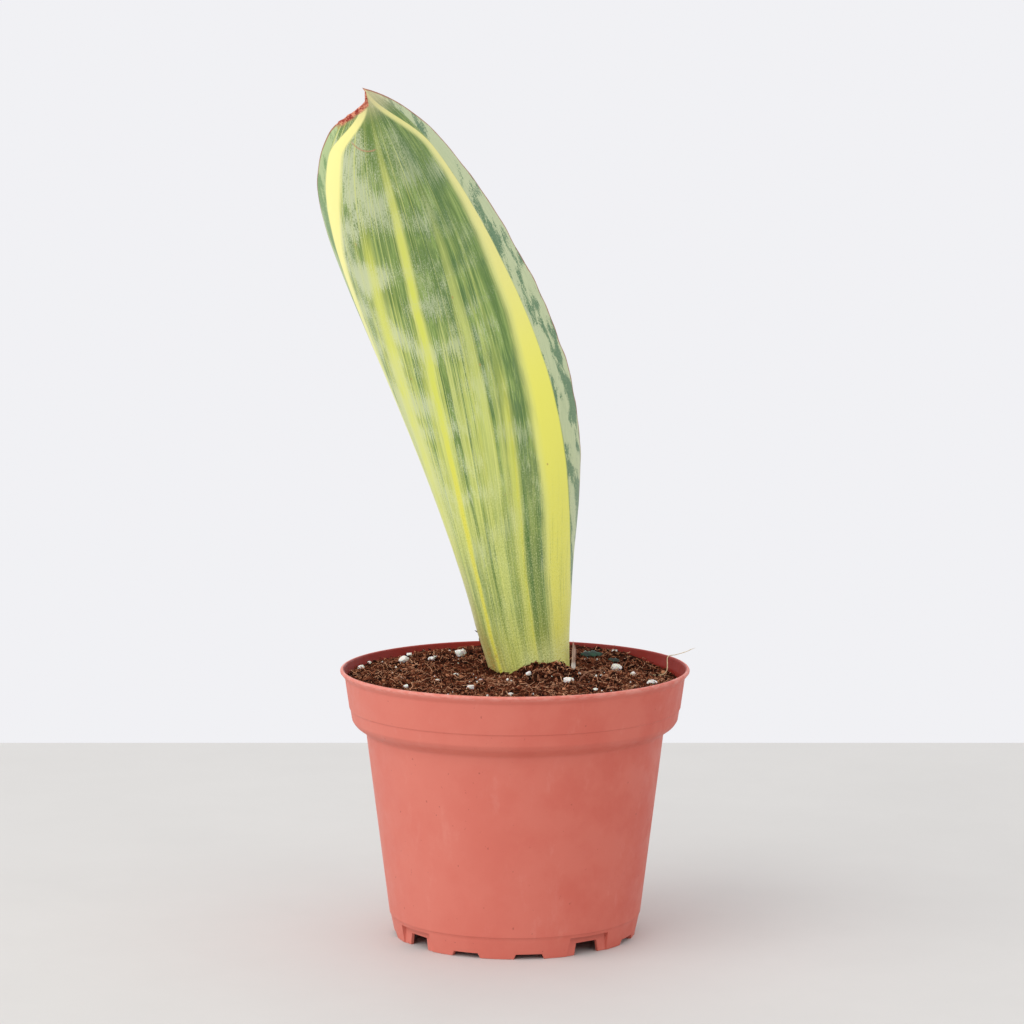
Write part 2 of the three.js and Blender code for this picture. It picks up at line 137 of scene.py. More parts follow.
class Paint:
    # a Principled material and short ways to add the nodes that feed it
    def __init__(self, name, **settings):
        self.material = bpy.data.materials.new(name)
        self.material.use_nodes = True
        self.tree = self.material.node_tree
        self.shader = self.tree.nodes["Principled BSDF"]
        self.output = self.tree.nodes["Material Output"]
        for key, value in settings.items():
            self.shader.inputs[key.replace("_", " ")].default_value = value

    def link(self, source, target):
        self.tree.links.new(source, target)

    def node(self, kind, sockets=None, **settings):
        made = self.tree.nodes.new(kind)
        for key, value in settings.items():
            setattr(made, key, value)
        for key, value in (sockets or {}).items():
            if isinstance(value, bpy.types.NodeSocket):
                self.link(value, made.inputs[key])
            else:
                made.inputs[key].default_value = value
        return made

    def attribute(self, label, vector=False):
        made = self.node("ShaderNodeAttribute", attribute_name=label)
        return made.outputs["Vector" if vector else "Fac"]

    def objectPlace(self):
        return self.node("ShaderNodeTexCoord").outputs["Object"]

    def stretched(self, vector, scale):
        made = self.node("ShaderNodeMapping", {"Vector": vector})
        made.inputs["Scale"].default_value = scale
        return made.outputs["Vector"]

    def slid(self, vector, amount):
        # the vector moved along its second axis
        shift = self.node("ShaderNodeCombineXYZ", {1: amount}).outputs[0]
        return self.node("ShaderNodeVectorMath", {0: vector, 1: shift}, operation="ADD").outputs[0]

    def noise(self, vector, scale, detail=4.0, roughness=0.55, distortion=0.0):
        # three scales stretch the noise, one for each axis
        if isinstance(scale, tuple):
            vector = self.stretched(vector, scale)
            scale = 1
        made = self.node("ShaderNodeTexNoise", {
            "Vector": vector, "Scale": scale, "Detail": detail,
            "Roughness": roughness, "Distortion": distortion})
        return made.outputs["Fac"]

    def cells(self, vector, scale, output="Distance", feature="F1"):
        made = self.node("ShaderNodeTexVoronoi", {"Vector": vector, "Scale": scale}, feature=feature)
        return made.outputs[output]

    def math(self, operation, first, second=0.0, third=0.0):
        made = self.node("ShaderNodeMath", {0: first, 1: second, 2: third}, operation=operation)
        return made.outputs[0]

    def add(self, first, second):
        return self.math("ADD", first, second)

    def minus(self, first, second):
        return self.math("SUBTRACT", first, second)

    def step(self, value, low, high, start=0.0, end=1.0):
        made = self.node("ShaderNodeMapRange", {
            "Value": value, "From Min": low, "From Max": high, "To Min": start, "To Max": end},
            interpolation_type="SMOOTHSTEP")
        return made.outputs["Result"]

    def times(self, *values):
        result = values[0]
        for value in values[1:]:
            result = self.math("MULTIPLY", result, value)
        return result

    def mix(self, share, first, second, blend="MIX"):
        made = self.node("ShaderNodeMix", {0: share, 6: first, 7: second}, data_type="RGBA", blend_type=blend)
        return made.outputs[2]

    def shades(self, value, low, high, first, last):
        # the first colour where the value is at low, the last where it is at high
        return self.mix(self.step(value, low, high), colour(first), colour(last))

    def cover(self, base, code, *shares):
        # the colour over the base, as far as the product of the shares says
        return self.mix(self.times(*shares), base, colour(code))

    def bump(self, height, strength, distance):
        made = self.node("ShaderNodeBump", {"Height": height, "Strength": strength, "Distance": distance})
        self.link(made.outputs["Normal"], self.shader.inputs["Normal"])

    def paint(self, base, roughness=None):
        self.link(base, self.shader.inputs["Base Color"])
        if roughness is not None:
            self.link(roughness, self.shader.inputs["Roughness"])
        return self.material


# camera, floor and lights

view = {"lens": 130, "place": (-0.001, -1.2546, 0.3004), "pitch": 7.006}
cameraData = bpy.data.cameras.new("camera")
cameraData.lens = view["lens"]
cameraData.sensor_width = 36
cameraData.clip_end = 20
camera = bpy.data.objects.new("camera", cameraData)
camera.location = view["place"]
camera.rotation_euler = (math.radians(90 - view["pitch"]), 0, 0)
scene.collection.objects.link(camera)
scene.camera = camera

tableEdge = 354
floorPaint = Paint("paleFloor", Roughness=0.75)
floorPlace = floorPaint.objectPlace()
floorCloud = floorPaint.noise(floorPlace, 14, 6, 0.65)
floorPaint.paint(floorPaint.mix(floorCloud, colour("#cac8c4"), colour("#d2d0cc")))
floorSide = 2500
floorCorners = np.array([
    [-floorSide, -floorSide, 0], [floorSide, -floorSide, 0],
    [floorSide, tableEdge, 0], [-floorSide, tableEdge, 0]], float)
floor = makeMesh("floor", floorCorners, [np.array([[0, 1, 2, 3]])], floorPaint.material)

world = bpy.data.worlds.new("studio")
scene.world = world
world.use_nodes = True
background = world.node_tree.nodes["Background"]
background.inputs["Color"].default_value = (0.955, 0.955, 0.985, 1)
background.inputs["Strength"].default_value = 0.92


def softLight(name, place, target, size, power, tint=(1, 1, 1)):
    data = bpy.data.lights.new(name, "AREA")
    data.shape = "DISK"
    data.size = size
    data.energy = power
    data.color = tint
    lamp = bpy.data.objects.new(name, data)
    lamp.location = place
    way = np.array(target) - np.array(place)
    tilt = math.atan2(math.hypot(way[0], way[1]), -way[2])
    lamp.rotation_euler = (tilt, 0, math.atan2(way[1], way[0]) - math.pi / 2)
    scene.collection.objects.link(lamp)


softLight("key", (-1.3, -1.0, 1.3), (0, 0, 0.1), 2.4, 24)
softLight("fill", (1.6, -1.2, 0.9), (0, 0, 0.1), 1.6, 3.5)
softLight("window", (0.3, 1.7, 1.3), (0, 0, 0), 2.2, 3.5)
print("camera, floor and lights ready")


# pot: a profile carried round the axis, with its foot cut by notches

pot = {
    "rimRadius": 60.0, "height": 92.5, "footRadius": 41.5, "wall": 1.0,
    "lipOverhang": 1.6, "lipThickness": 1.5, "lipHeight": 2.9,
    "bandHeight": 17.5, "bandTaper": 2.4, "bandStepHeight": 4.2, "bandStep": 0.35,
    "shoulderOverhang": 4.8, "shoulderHeight": 4.3,
    "footBand": 7.8, "footFlare": 1.6, "footStep": 0.3, "footThickness": 1.9,
    "floorHeight": 4.5, "floorThickness": 1.4,
    "notches": 12, "firstNotch": 6.5, "notchWidth": 10.4, "notchSlope": 0.8,
    "lowNotch": 1.7, "tallNotch": 4.0, "panelWidth": 17.0, "panelHeight": 6.5, "panelDepth": 1.1,
    "holeRadius": 3.5, "holes": 8, "holeRing": 27.0, "holeSides": 32,
    "sharpAngle": 32,
    # the band's underside leans in and drops; the inner wall's corners stand off the outer ones
    # two rings that nearly meet keep the ring gap
    "underBand": 1.1, "underBandDrop": 1.7, "bandLean": 0.6, "ringGap": 0.02,
    "innerFoot": 0.4, "innerRises": (0.6, -0.2, 1.7, -0.8), "cutEdge": 0.12, "footEdge": 0.15,
}


def rounded(points, sizes, steps=5):
    # each corner with a size gets a quadratic curve that starts and ends that far from it
    result = []
    for k, (corner, size) in enumerate(zip(points, sizes)):
        corner = np.array(corner, float)
        if size == 0:
            result.append(corner)
            continue
        before = np.array(points[k - 1], float) - corner
        after = np.array(points[(k + 1) % len(points)], float) - corner
        first = corner + before / np.linalg.norm(before) * size
        last = corner + after / np.linalg.norm(after) * size
        for t in np.linspace(0, 1, steps):
            result.append((1 - t) ** 2 * first + 2 * t * (1 - t) * corner + t * t * last)
    return result


def potSizes(p):
    # the outer radii at the wall's foot and top and at the band's bottom and top, and where the band starts
    bandTop = p["rimRadius"] - p["lipOverhang"]
    bandBottom = bandTop - p["bandTaper"]
    wallTop = bandBottom - p["shoulderOverhang"]
    wallBottom = p["footRadius"] + p["footFlare"] + p["footStep"]
    return wallBottom, wallTop, bandBottom, bandTop, p["height"] - p["bandHeight"]


def potInside(p, inset):
    # the inner wall from the floor to the lip, moved inward by inset
    wallBottom, wallTop, bandBottom, bandTop, bandZ = potSizes(p)
    rises = p["innerRises"]
    return [
        (wallBottom - p["innerFoot"] - inset, p["floorHeight"] + p["floorThickness"]),
        (wallTop - inset, bandZ - p["shoulderHeight"] + rises[0]),
        (bandBottom - p["underBand"] - inset, bandZ + rises[1]),
        (bandBottom - inset, bandZ + rises[2]),
        (bandTop - inset, p["height"] - p["lipHeight"] + rises[3]),
    ]


def potColumns(p):
    # columns round the foot, closer at each notch and panel edge; each has its angle, the height of
    # its cut, its place on the panel and how far its cut edge leans sideways
    radius = p["footRadius"]
    noPanel = 9.0
    columns = []
    apart = 360 / p["notches"]
    notches = [(math.radians(p["firstNotch"] + apart * k), k % 3 == 1) for k in range(p["notches"])]
    edges = np.array([n[0] for n in notches])
    for angle in np.radians(np.arange(0, 360, 1.0)):
        gaps = np.abs((angle - edges + math.pi) % (2 * math.pi) - math.pi) * radius
        nearest = int(np.argmin(gaps))
        tall = notches[nearest][1]
        if gaps[nearest] > p["panelWidth" if tall else "notchWidth"] / 2 + 0.5:
            columns.append((angle, 0, noPanel, 0))
    for angle, tall in notches:
        half, top = p["notchWidth"] / 2, p["notchWidth"] / 2 - p["notchSlope"]
        height = p["tallNotch"] if tall else p["lowNotch"]
        spots = [(-half, 0), *[(top * share, height) for share in (-1, -0.5, 0, 0.5, 1)], (half, 0)]
        if tall:
            side = p["panelWidth"] / 2
            before = [(-side - 0.05, 0), (-side, 0), (-side * 0.8, 0)]
            after = [(side * 0.8, 0), (side, 0), (side + 0.05, 0)]
            spots = before + spots + after
        for across, cut in spots:
            inPanel = tall and abs(across) <= p["panelWidth"] / 2
            besideNotch = tall and abs(across) > p["notchWidth"] / 2 + 0.1
            panel = across / radius if inPanel else noPanel
            lean = math.copysign(p["notchSlope"] / radius, -across) if besideNotch else 0
            columns.append((angle + across / radius, cut, panel, lean))
    columns = np.array(columns).T
    columns[0] %= 2 * math.pi
    return columns[:, np.argsort(columns[0])]


def buildPot(p, material):
    angles, cuts, panels, sideways = potColumns(p)
    count = len(angles)
    wallBottom, wallTop, bandBottom, bandTop, bandZ = potSizes(p)
    stepZ, leant = bandZ + p["bandStepHeight"], bandBottom + p["bandLean"]
    footInside = p["footRadius"] - p["footThickness"]
    footTop = p["footBand"] - p["footStep"]
    rows = []

    def ring(radius, z, shear=0.0):
        radius, z = (np.broadcast_to(np.asarray(size, float), count) for size in (radius, z))
        rows.append((radius, z, shear))

    # under the floor, down the foot's inside and across its end, which lies at the cut height
    for share in (0.25, 0.5, 0.75, 0.97):
        ring(footInside * share, p["floorHeight"])
    for share in (0.0, 0.15, 1.0):
        ring(footInside, p["floorHeight"] + (cuts + p["cutEdge"] - p["floorHeight"]) * share)
    ring(footInside + p["footEdge"], cuts)

    def footOut(z):
        full = p["footRadius"] + p["footFlare"] * z / footTop
        flat = (p["footRadius"] - p["panelDepth"]) / np.cos(np.where(panels > 1, 0, panels))
        return full, np.where(panels > 1, full, np.minimum(full, flat))

    ring(footOut(cuts)[1] - 0.2, cuts)
    for share in (0.0, 0.33, 0.66, 1.0):
        z = cuts + p["cutEdge"] + (p["panelHeight"] - cuts - p["cutEdge"] - p["ringGap"]) * share
        ring(footOut(z)[1], z, share)
    ring(footOut(p["panelHeight"])[0], p["panelHeight"], 1.0)
    ring(footOut(footTop)[0], footTop)
    wall = [
        (wallBottom - p["ringGap"], p["footBand"]), (wallTop, bandZ - p["shoulderHeight"]),
        (bandBottom - p["underBand"], bandZ - p["underBandDrop"]), (bandBottom, bandZ),
        (leant, stepZ - p["bandStep"]), (leant + p["bandStep"], stepZ),
        (bandTop, p["height"] - p["lipHeight"]),
    ]
    lipRadius = p["lipThickness"] / 2
    lipMiddle, lipZ = p["rimRadius"] - lipRadius, p["height"] - lipRadius
    lip = [(lipMiddle + lipRadius * math.cos(a), lipZ + lipRadius * math.sin(a))
           for a in np.linspace(-0.35, math.pi, 13)]
    outline = wall + lip + potInside(p, p["wall"])[::-1]
    sizes = [0.0, 0.9, 0.9, 0.5, 0.1, 0.1, 0.5] + [0] * len(lip) + [0.4, 0.8, 0.8, 0.8, 0.9]
    for radius, z in rounded(outline, sizes):
        ring(radius, z)
    for share in (0.9, 0.6, 0.3):
        ring(footInside * share, p["floorHeight"] + p["floorThickness"])
    radii = np.array([r[0] for r in rows])
    heights = np.array([r[1] for r in rows])
    turned = angles[None, :] + sideways[None, :] * np.array([r[2] for r in rows])[:, None]
    corners = np.stack([radii * np.sin(turned), -radii * np.cos(turned), heights], -1).reshape(-1, 3)
    last = len(corners)
    corners = np.vstack([corners, [[0, 0, p["floorHeight"]], [0, 0, p["floorHeight"] + p["floorThickness"]]]])
    faceSets = [gridFaces(len(rows), count, wrap=True), *endFans(count, last)]
    body = makeMesh("potBody", corners, faceSets, material, sharpAngle=p["sharpAngle"])
    sides = p["holeSides"]
    rim = circle(sides)
    holes, walls, caps = [], [], []
    for k in range(p["holes"] + 1):
        turn = 2 * math.pi * k / p["holes"]
        centre = (0, 0) if k == 0 else (p["holeRing"] * math.sin(turn), -p["holeRing"] * math.cos(turn))
        flat = np.array(centre) + p["holeRadius"] * np.stack([np.cos(rim), np.sin(rim)], -1)
        holes.append(np.column_stack([flat, np.full(sides, p["floorHeight"] - 2)]))
        holes.append(np.column_stack([flat, np.full(sides, p["floorHeight"] + 3)]))
        first = 2 * sides * k
        walls.append(gridFaces(2, sides, wrap=True, start=first))
        caps += [np.arange(sides)[::-1][None] + first, np.arange(sides, 2 * sides)[None] + first]
    cutter = makeMesh("potHoles", np.vstack(holes), [*walls, *caps], material)
    cut = body.modifiers.new("drainHoles", "BOOLEAN")
    cut.object = cutter
    cut.operation = "DIFFERENCE"
    cut.solver = "EXACT"
    finished = bpy.data.meshes.new_from_object(body.evaluated_get(bpy.context.evaluated_depsgraph_get()))
    body.modifiers.clear()
    body.data = finished
    finished.set_sharp_from_angle(angle=math.radians(p["sharpAngle"]))
    bpy.data.objects.remove(cutter)
    return body


def potPaint():
    paint = Paint("mouldedPlastic", Roughness=0.5, IOR=1.46, Specular_IOR_Level=0.35)
    spot = paint.objectPlace()
    cloud = paint.noise(spot, 55, 5, 0.6)
    side = paint.node("ShaderNodeSeparateXYZ", {0: spot}).outputs["X"]
    # painted light and shade: the pot is painted paler on its left, toward the key light, and deeper red on
    # its right
    base = paint.shades(side, -0.06, 0.06, "#d57666", "#c86050")
    base = paint.cover(base, "#dc8574", paint.step(cloud, 0.35, 0.65), 0.25)
    dust = paint.step(paint.noise(paint.stretched(spot, (1, 1, 0.45)), 130, 7, 0.7), 0.55, 0.8)
    base = paint.cover(base, "#e2a193", dust, 0.22)
    fleck = paint.step(paint.noise(spot, 700, 2, 0.5), 0.72, 0.78)
    base = paint.cover(base, "#8c3c30", fleck, 0.45)

    # the lip's top is painted paler, partly as wear and partly as a painted highlight, and the inner wall is
    # painted a deep red as painted shade
    height = paint.node("ShaderNodeSeparateXYZ", {0: spot}).outputs["Z"]
    # the paler lip top is partly wear and partly a painted highlight
    lipWearAndHighlight = paint.step(paint.noise(paint.stretched(spot, (1, 1, 3)), 300, 5, 0.7), 0.4, 0.6, 0.05, 0.35)
    base = paint.cover(base, "#e6aca0", paint.step(height, 0.0903, 0.0917), lipWearAndHighlight)
    # painted shade: the inner wall above the mix is painted a deep red, darker than the outside
    flat = paint.stretched(spot, (1, 1, 0))
    away = paint.node("ShaderNodeVectorMath", {0: flat}, operation="LENGTH").outputs["Value"]
    # the middle of the wall's thickness leans out by 0.164 for each unit of height
    wallMiddle = paint.math("MULTIPLY_ADD", height, 0.164, 0.0433)
    wallMiddle = paint.add(wallMiddle, paint.step(height, 0.0893, 0.0912, 0.0, 0.0006))
    innerWallShade = paint.step(paint.minus(away, wallMiddle), 0.0002, -0.0002)
    innerWallShade = paint.times(innerWallShade, paint.step(height, 0.0775, 0.078))
    base = paint.cover(base, "#8c1f10", innerWallShade)
    roughness = paint.step(paint.noise(spot, 160, 4, 0.6), 0.3, 0.7, 0.44, 0.6)
    drawn = paint.noise(paint.stretched(spot, (0.15, 0.15, 1)), 900, 3, 0.5)
    grain = paint.add(paint.times(paint.noise(spot, 1400, 3, 0.6), 0.6), paint.times(drawn, 0.4))
    paint.bump(grain, 0.12, 0.0002)
    return paint.paint(base, roughness)


potPiece = place(buildPot(pot, potPaint()), "pot_plastic", "pot")
print("pot ready:", len(potPiece.data.polygons), "faces")


# leaf: a curled strip carried along a leaning midline

leaf = {
    "foot": (13.8, 4.0, 74.9), "lean": 62.3, "forward": 54.0, "rise": 215.5, "halfWidth": 54.0,
    "alongX": [0, -0.296, -0.438, -0.784, -1],
    "alongY": [0, -0.16, -0.14, -1],
    "alongZ": [0, 0.349, 0.559, 1],
    "widths": [0.667, 0.296, 1.176, 0.935, 0.691, 1.257], "tipRoundness": 0.94,
    "curl": [2.0, 1.89, 1.01, 1.74, 1.01], "roll": [-0.47, 0.46, 0.6, 0.32, -0.29],
    "footThickness": 8.0, "tipThickness": 2.6, "marginThickness": 1.3,
    "footNarrowing": 0.31, "narrowingEnd": 0.16,
    "tearStart": 0.945, "tearLength": 0.04, "tearDepth": 0.85, "tearSharpness": 2.8,
    "rows": 330, "columns": 96, "rowCrowding": 1.35, "columnCrowding": 1.6, "tipEnd": 0.9965,
    "rippleDepth": 0.007, "ripplePower": 6,
    "sheetLength": 222, "laneWidth": 45, "faceShift": 300, "drift": 0.6, "driftPower": 1.85,
}


def bezier(values, u):
    # Bernstein polynomial of the control values
    n = len(values) - 1
    return sum(math.comb(n, k) * u ** k * (1 - u) ** (n - k) * values[k] for k in range(n + 1))


def bezierSlope(values, u):
    n = len(values) - 1
    return n * bezier([values[k + 1] - values[k] for k in range(n)], u)


def unit(vectors):
    return vectors / np.linalg.norm(vectors, axis=-1, keepdims=True)


def leafFrame(p, u):
    # the midline's point at u, its direction, and the sideways and outward directions after the roll
    control = [[p["foot"][0] + p["lean"] * c for c in p["alongX"]],
               [p["foot"][1] + p["forward"] * c for c in p["alongY"]],
               [p["foot"][2] + p["rise"] * c for c in p["alongZ"]]]
    centre = np.stack([bezier(c, u) for c in control], -1)
    along = unit(np.stack([bezierSlope(c, u) for c in control], -1))
    across = unit(np.cross([0, 1, 0], along))
    outward = np.cross(across, along)
    turn = bezier(p["roll"], u)[..., None]
    sideways = across * np.cos(turn) + outward * np.sin(turn)
    normal = outward * np.cos(turn) - across * np.sin(turn)
    return centre, sideways, normal


def leafWidth(p, u):
    narrowing = p["footNarrowing"] * np.maximum(0, 1 - u / p["narrowingEnd"]) ** 1.5
    return p["halfWidth"] * bezier(p["widths"], u) * (1 - narrowing) * (1 - u ** 6) ** p["tipRoundness"]


def leafReach(p, u):
    # how much of the left half is left, where the margin is torn near the tip
    torn = np.clip((u - p["tearStart"]) / p["tearLength"], 0, 1) ** p["tearSharpness"]
    ragged = (0.035 * np.sin(u * 900) + 0.03 * np.sin(u * 2100 + 1)) * smoothStep(u, 0.96, 0.967)
    return 1 - p["tearDepth"] * torn + ragged * (1 - torn)


def leafSurface(p, u, v, side, depthShare):
    # side -1 to 1 over the half widths, v the same before the tear
    # depthShare 0 on the outer face, 1 on the inner
    centre, sideways, normal = leafFrame(p, u)
    width = leafWidth(p, u)
    bend = bezier(p["curl"], u)
    radius = width / bend
    waves = np.sin(u * 47 + 2 * np.sign(v)) + 0.7 * np.sin(u * 83 + 1.3 * np.sign(v))
    waves = waves + 0.5 * np.sin(u * 151 + 0.4)
    ripple = 1 + p["rippleDepth"] * np.abs(v) ** p["ripplePower"] * waves
    angle = bend * side * ripple
    ridge = p["tipThickness"] + (p["footThickness"] - p["tipThickness"]) * (1 - u) ** 3
    thickness = (p["marginThickness"] + (ridge - p["marginThickness"]) * (1 - v * v)) * width / (width + 2)
    # the margins are round: a half circle as thick as the margin
    half = np.minimum(p["marginThickness"] * width / (width + 2) / 2, thickness / 2)
    fromEdge = np.clip(1 - (1 - np.abs(v)) * width / half, 0, 1)
    inset = half * (1 - np.sqrt(np.maximum(0, 1 - fromEdge ** 2)))
    depth = inset * (1 - depthShare) + (thickness - inset) * depthShare
    facing = normal * np.cos(angle)[..., None] + sideways * np.sin(angle)[..., None]
    return centre - normal * radius[..., None] + facing * (radius - depth)[..., None]


def buildLeaf(p, material):
    u = 1 - (1 - np.linspace(0, 1, p["rows"])) ** p["rowCrowding"]
    u = u * p["tipEnd"]
    t = np.linspace(-1, 1, p["columns"])
    spread = np.sign(t) * (1 - (1 - np.abs(t)) ** p["columnCrowding"])
    v = np.concatenate([spread, spread[-2:0:-1]])
    face = np.concatenate([np.zeros(p["columns"]), np.ones(p["columns"] - 2)])
    uu, vv = np.meshgrid(u, v, indexing="ij")
    _, ff = np.meshgrid(u, face, indexing="ij")
    reach = np.where(vv < 0, leafReach(p, uu), 1.0)
    corners = leafSurface(p, uu, vv, vv * reach, ff)
    width = leafWidth(p, uu)
    physical = vv * reach
    rim = (1 - np.abs(vv)) * width * reach
    # flat places on the sheet for the streaks, with the inner face far from the outer
    # the lanes run to the left toward the foot
    drift = -p["drift"] * (1 - uu) ** p["driftPower"]
    length = uu * p["sheetLength"]
    sheet = np.stack([physical * width, length, ff * p["faceShift"]], -1)
    laned = np.stack([(physical - drift) * p["laneWidth"], length, ff * p["faceShift"]], -1)

    def flatten(grid):
        return grid.reshape(-1, *grid.shape[2:])

    count = len(v)
    corners = flatten(corners)
    tip = corners[-count:].mean(0) + np.array([-1.3, -0.2, 1.0])
    values = {
        "across": flatten(physical), "along": flatten(uu), "lane": flatten(physical - drift),
        "rim": flatten(rim), "sheet": flatten(sheet), "laned": flatten(laned),
        "torn": flatten(smoothStep(uu, 0.957, 0.965) * (vv < 0)),
    }
    values = {k: np.concatenate([a, a[-count:].mean(0, keepdims=True)]) for k, a in values.items()}
    corners = np.vstack([corners, [tip]])
    around = np.arange(count)
    nextOne = (around + 1) % count
    top = (len(u) - 1) * count
    tipFaces = np.stack([top + around, top + nextOne, np.full(count, top + count)], -1)
    # the cut foot is closed by quads between the outer and the inner face
    n = p["columns"]
    j = np.arange(1, n - 2)
    footFaces = np.stack([j + 1, j, 2 * n - 2 - j, 2 * n - 3 - j], -1)
    ends = np.array([[1, 0, 2 * n - 3], [n - 1, n - 2, n]])
    faceSets = [gridFaces(len(u), count, wrap=True), tipFaces, footFaces, ends]
    return makeMesh("leafBlade", corners, faceSets, material, values)


def leafPaint():
    paint = Paint(
        "leafSkin", Roughness=0.45, IOR=1.42, Specular_IOR_Level=0.36,
        Coat_Weight=0.04, Coat_Roughness=0.35)
    noise, step, times, add, minus = paint.noise, paint.step, paint.times, paint.add, paint.minus
    cover, shades = paint.cover, paint.shades
    across, along = paint.attribute("across"), paint.attribute("along")
    lane, rim = paint.attribute("lane"), paint.attribute("rim")
    sheet, laned = paint.attribute("sheet", True), paint.attribute("laned", True)

    # streaks along the leaf: broad, fine and hair-thin
    streak = noise(laned, (0.8, 0.03, 1), 5, 0.65)
    hair = noise(laned, (3.4, 0.10, 1), 4, 0.65)
    grain = noise(sheet, (3.0, 1.6, 1), 5, 0.75)
    green = shades(streak, 0.35, 0.65, "#5a7642", "#8aa25e")
    green = cover(green, "#a2b274", step(hair, 0.46, 0.72), 0.75)

    # patches lie across the leaf, and each streak slides them along it by its own amount
    pull = noise(laned, (2.2, 0.006, 1), 4, 0.6)
    slide = paint.math("MULTIPLY_ADD", pull, 26.0, -13.0)
    jagged = paint.slid(sheet, slide)
    deep = step(noise(jagged, (0.07, 0.1, 1.3), 5, 0.6), 0.46, 0.56)
    deepColour = shades(across, -0.1, 0.5, "#5a773a", "#4a6a4b")
    green = paint.mix(times(deep, 0.75), green, deepColour)
    cloud = noise(jagged, (0.06, 0.11, 1), 7, 0.66, 0.2)
    bloom = add(times(cloud, 0.68), times(grain, 0.32))
    bloom = add(bloom, step(across, 0.1, -0.5, -0.02, 0.018))
    bloom = step(bloom, 0.485, 0.55)
    leftPale = step(across, 0.35, -0.6, 0.55, 1.0)
    upper = step(along, 0.1, 0.4, 0.2, 1.0)
    bloom = times(bloom, leftPale, upper)
    green = cover(green, "#c6ceb3", bloom, 0.8)

    # yellow-green streaks, closer together low on the leaf and at its left
    yellowStreak = noise(laned, (0.42, 0.006, 1), 4, 0.6)
    thin = noise(laned, (1.5, 0.012, 1), 3, 0.6)
    low = add(step(along, 0.8, 0.3, 0.0, 0.13), step(across, 0.0, -0.6, 0.0, 0.05))
    share = step(add(yellowStreak, low), 0.55, 0.7)
    rightSide = times(step(lane, 0.33, 0.62), step(along, 0.2, 0.45, 0.5, 0.85))
    central = minus(1.0, rightSide)
    skin = cover(green, "#cbd070", share, central, 0.7)
    thinShare = step(add(thin, step(along, 0.8, 0.3, 0.0, 0.08)), 0.56, 0.66)
    skin = cover(skin, "#d0d688", thinShare, central, 0.65)

    # single stripes, each at its own lane, with soft and uneven edges
    sway = noise(sheet, (0.01, 0.03, 1), 2)
    wobble = times(minus(sway, 0.5), 0.05)
    feather = times(minus(hair, 0.5), 0.035)
    wavyLane = add(add(lane, wobble), feather)
    stripes = [
        # lane, half width, end and start of the fade toward the tip, strength, colour
        (-0.325, 0.085, 0.86, 0.60, 0.75, "#d9dd8c"),
        (-0.325, 0.045, 0.86, 0.76, 0.60, "#d6d95e"),
        (0.000, 0.040, 1.01, 0.80, 0.90, "#d3d77a"),
        (0.000, 0.022, 0.90, 0.70, 0.60, "#d0d552"),
        (0.325, 0.032, 0.94, 0.66, 0.75, "#c4cc78"),
        (0.500, 0.040, 0.66, 0.48, 0.80, "#cfd272"),
        (0.500, 0.020, 0.62, 0.42, 0.60, "#d5d44e"),
        (0.490, 0.014, 0.92, 0.66, 0.50, "#b9c470"),
        (0.150, 0.014, 0.66, 0.45, 0.60, "#c6ce7a"),
        (0.235, 0.012, 0.74, 0.55, 0.55, "#c6ce7a"),
        (0.420, 0.012, 0.90, 0.60, 0.50, "#bcc770"),
        (-0.160, 0.014, 0.84, 0.60, 0.50, "#bcc770"),
    ]
    for middle, half, fadeEnd, fadeStart, strength, code in stripes:
        away = paint.math("ABSOLUTE", minus(wavyLane, middle))
        mask = step(away, half * 1.6, half * 0.4)
        mask = times(mask, step(along, fadeEnd, fadeStart), strength)
        skin = cover(skin, code, mask)
    skin = cover(skin, "#c3cbb0", bloom, 0.3)
    # darker bands low on the leaf, between the yellow ones
    bands = [
        # lane, half width, start and end along the leaf, strength
        (0.555, 0.026, 0.07, 0.42, 0.85),
        (0.610, 0.050, 0.12, 0.40, 0.50),
        (0.660, 0.020, 0.13, 0.40, 0.75),
        (0.400, 0.030, 0.14, 0.42, 0.50),
        (0.070, 0.030, 0.11, 0.36, 0.55),
        (0.190, 0.035, 0.14, 0.40, 0.40),
        (-0.095, 0.032, 0.06, 0.34, 0.60),
    ]
    for middle, half, bandStart, bandEnd, strength in bands:
        away = paint.math("ABSOLUTE", minus(wavyLane, middle))
        begun = step(along, bandStart - 0.03, bandStart + 0.03)
        reach = times(begun, step(along, bandEnd, bandEnd - 0.14))
        mask = step(away, half * 1.5, half * 0.5)
        mask = times(mask, reach, step(hair, 0.62, 0.4, 0.35, 1.0), strength)
        skin = cover(skin, "#4a6f34", mask)
    rightDeep = times(step(across, 0.15, 0.45), step(across, 0.7, 0.6))
    rightDeep = times(rightDeep, step(along, 0.35, 0.5))
    skin = cover(skin, "#54743c", rightDeep, step(streak, 0.62, 0.42), 0.5)

    # outer strips: dark and pale mottling drawn out along the leaf
    drawnOut = paint.slid(sheet, times(slide, 0.3))
    mottle = noise(drawnOut, (0.15, 0.055, 1), 7, 0.62, 0.3)
    mottle = add(times(mottle, 0.8), times(grain, 0.2))
    patch = step(mottle, 0.46, 0.5)
    strip = paint.mix(patch, colour("#5a7a60"), colour("#b9c3a2"))
    strip = cover(strip, "#7f9870", step(hair, 0.42, 0.7), 0.35)
    strip = cover(strip, "#c4ccae", step(grain, 0.5, 0.62), 0.3)
    strip = cover(strip, "#8fae6c", step(across, 0.1, -0.1, 0.0, 0.4))
    rightStrip = step(across, 0.735, 0.755)
    leftStrip = step(across, -0.785, -0.81)
    skin = paint.mix(paint.math("MAXIMUM", rightStrip, leftStrip), skin, strip)

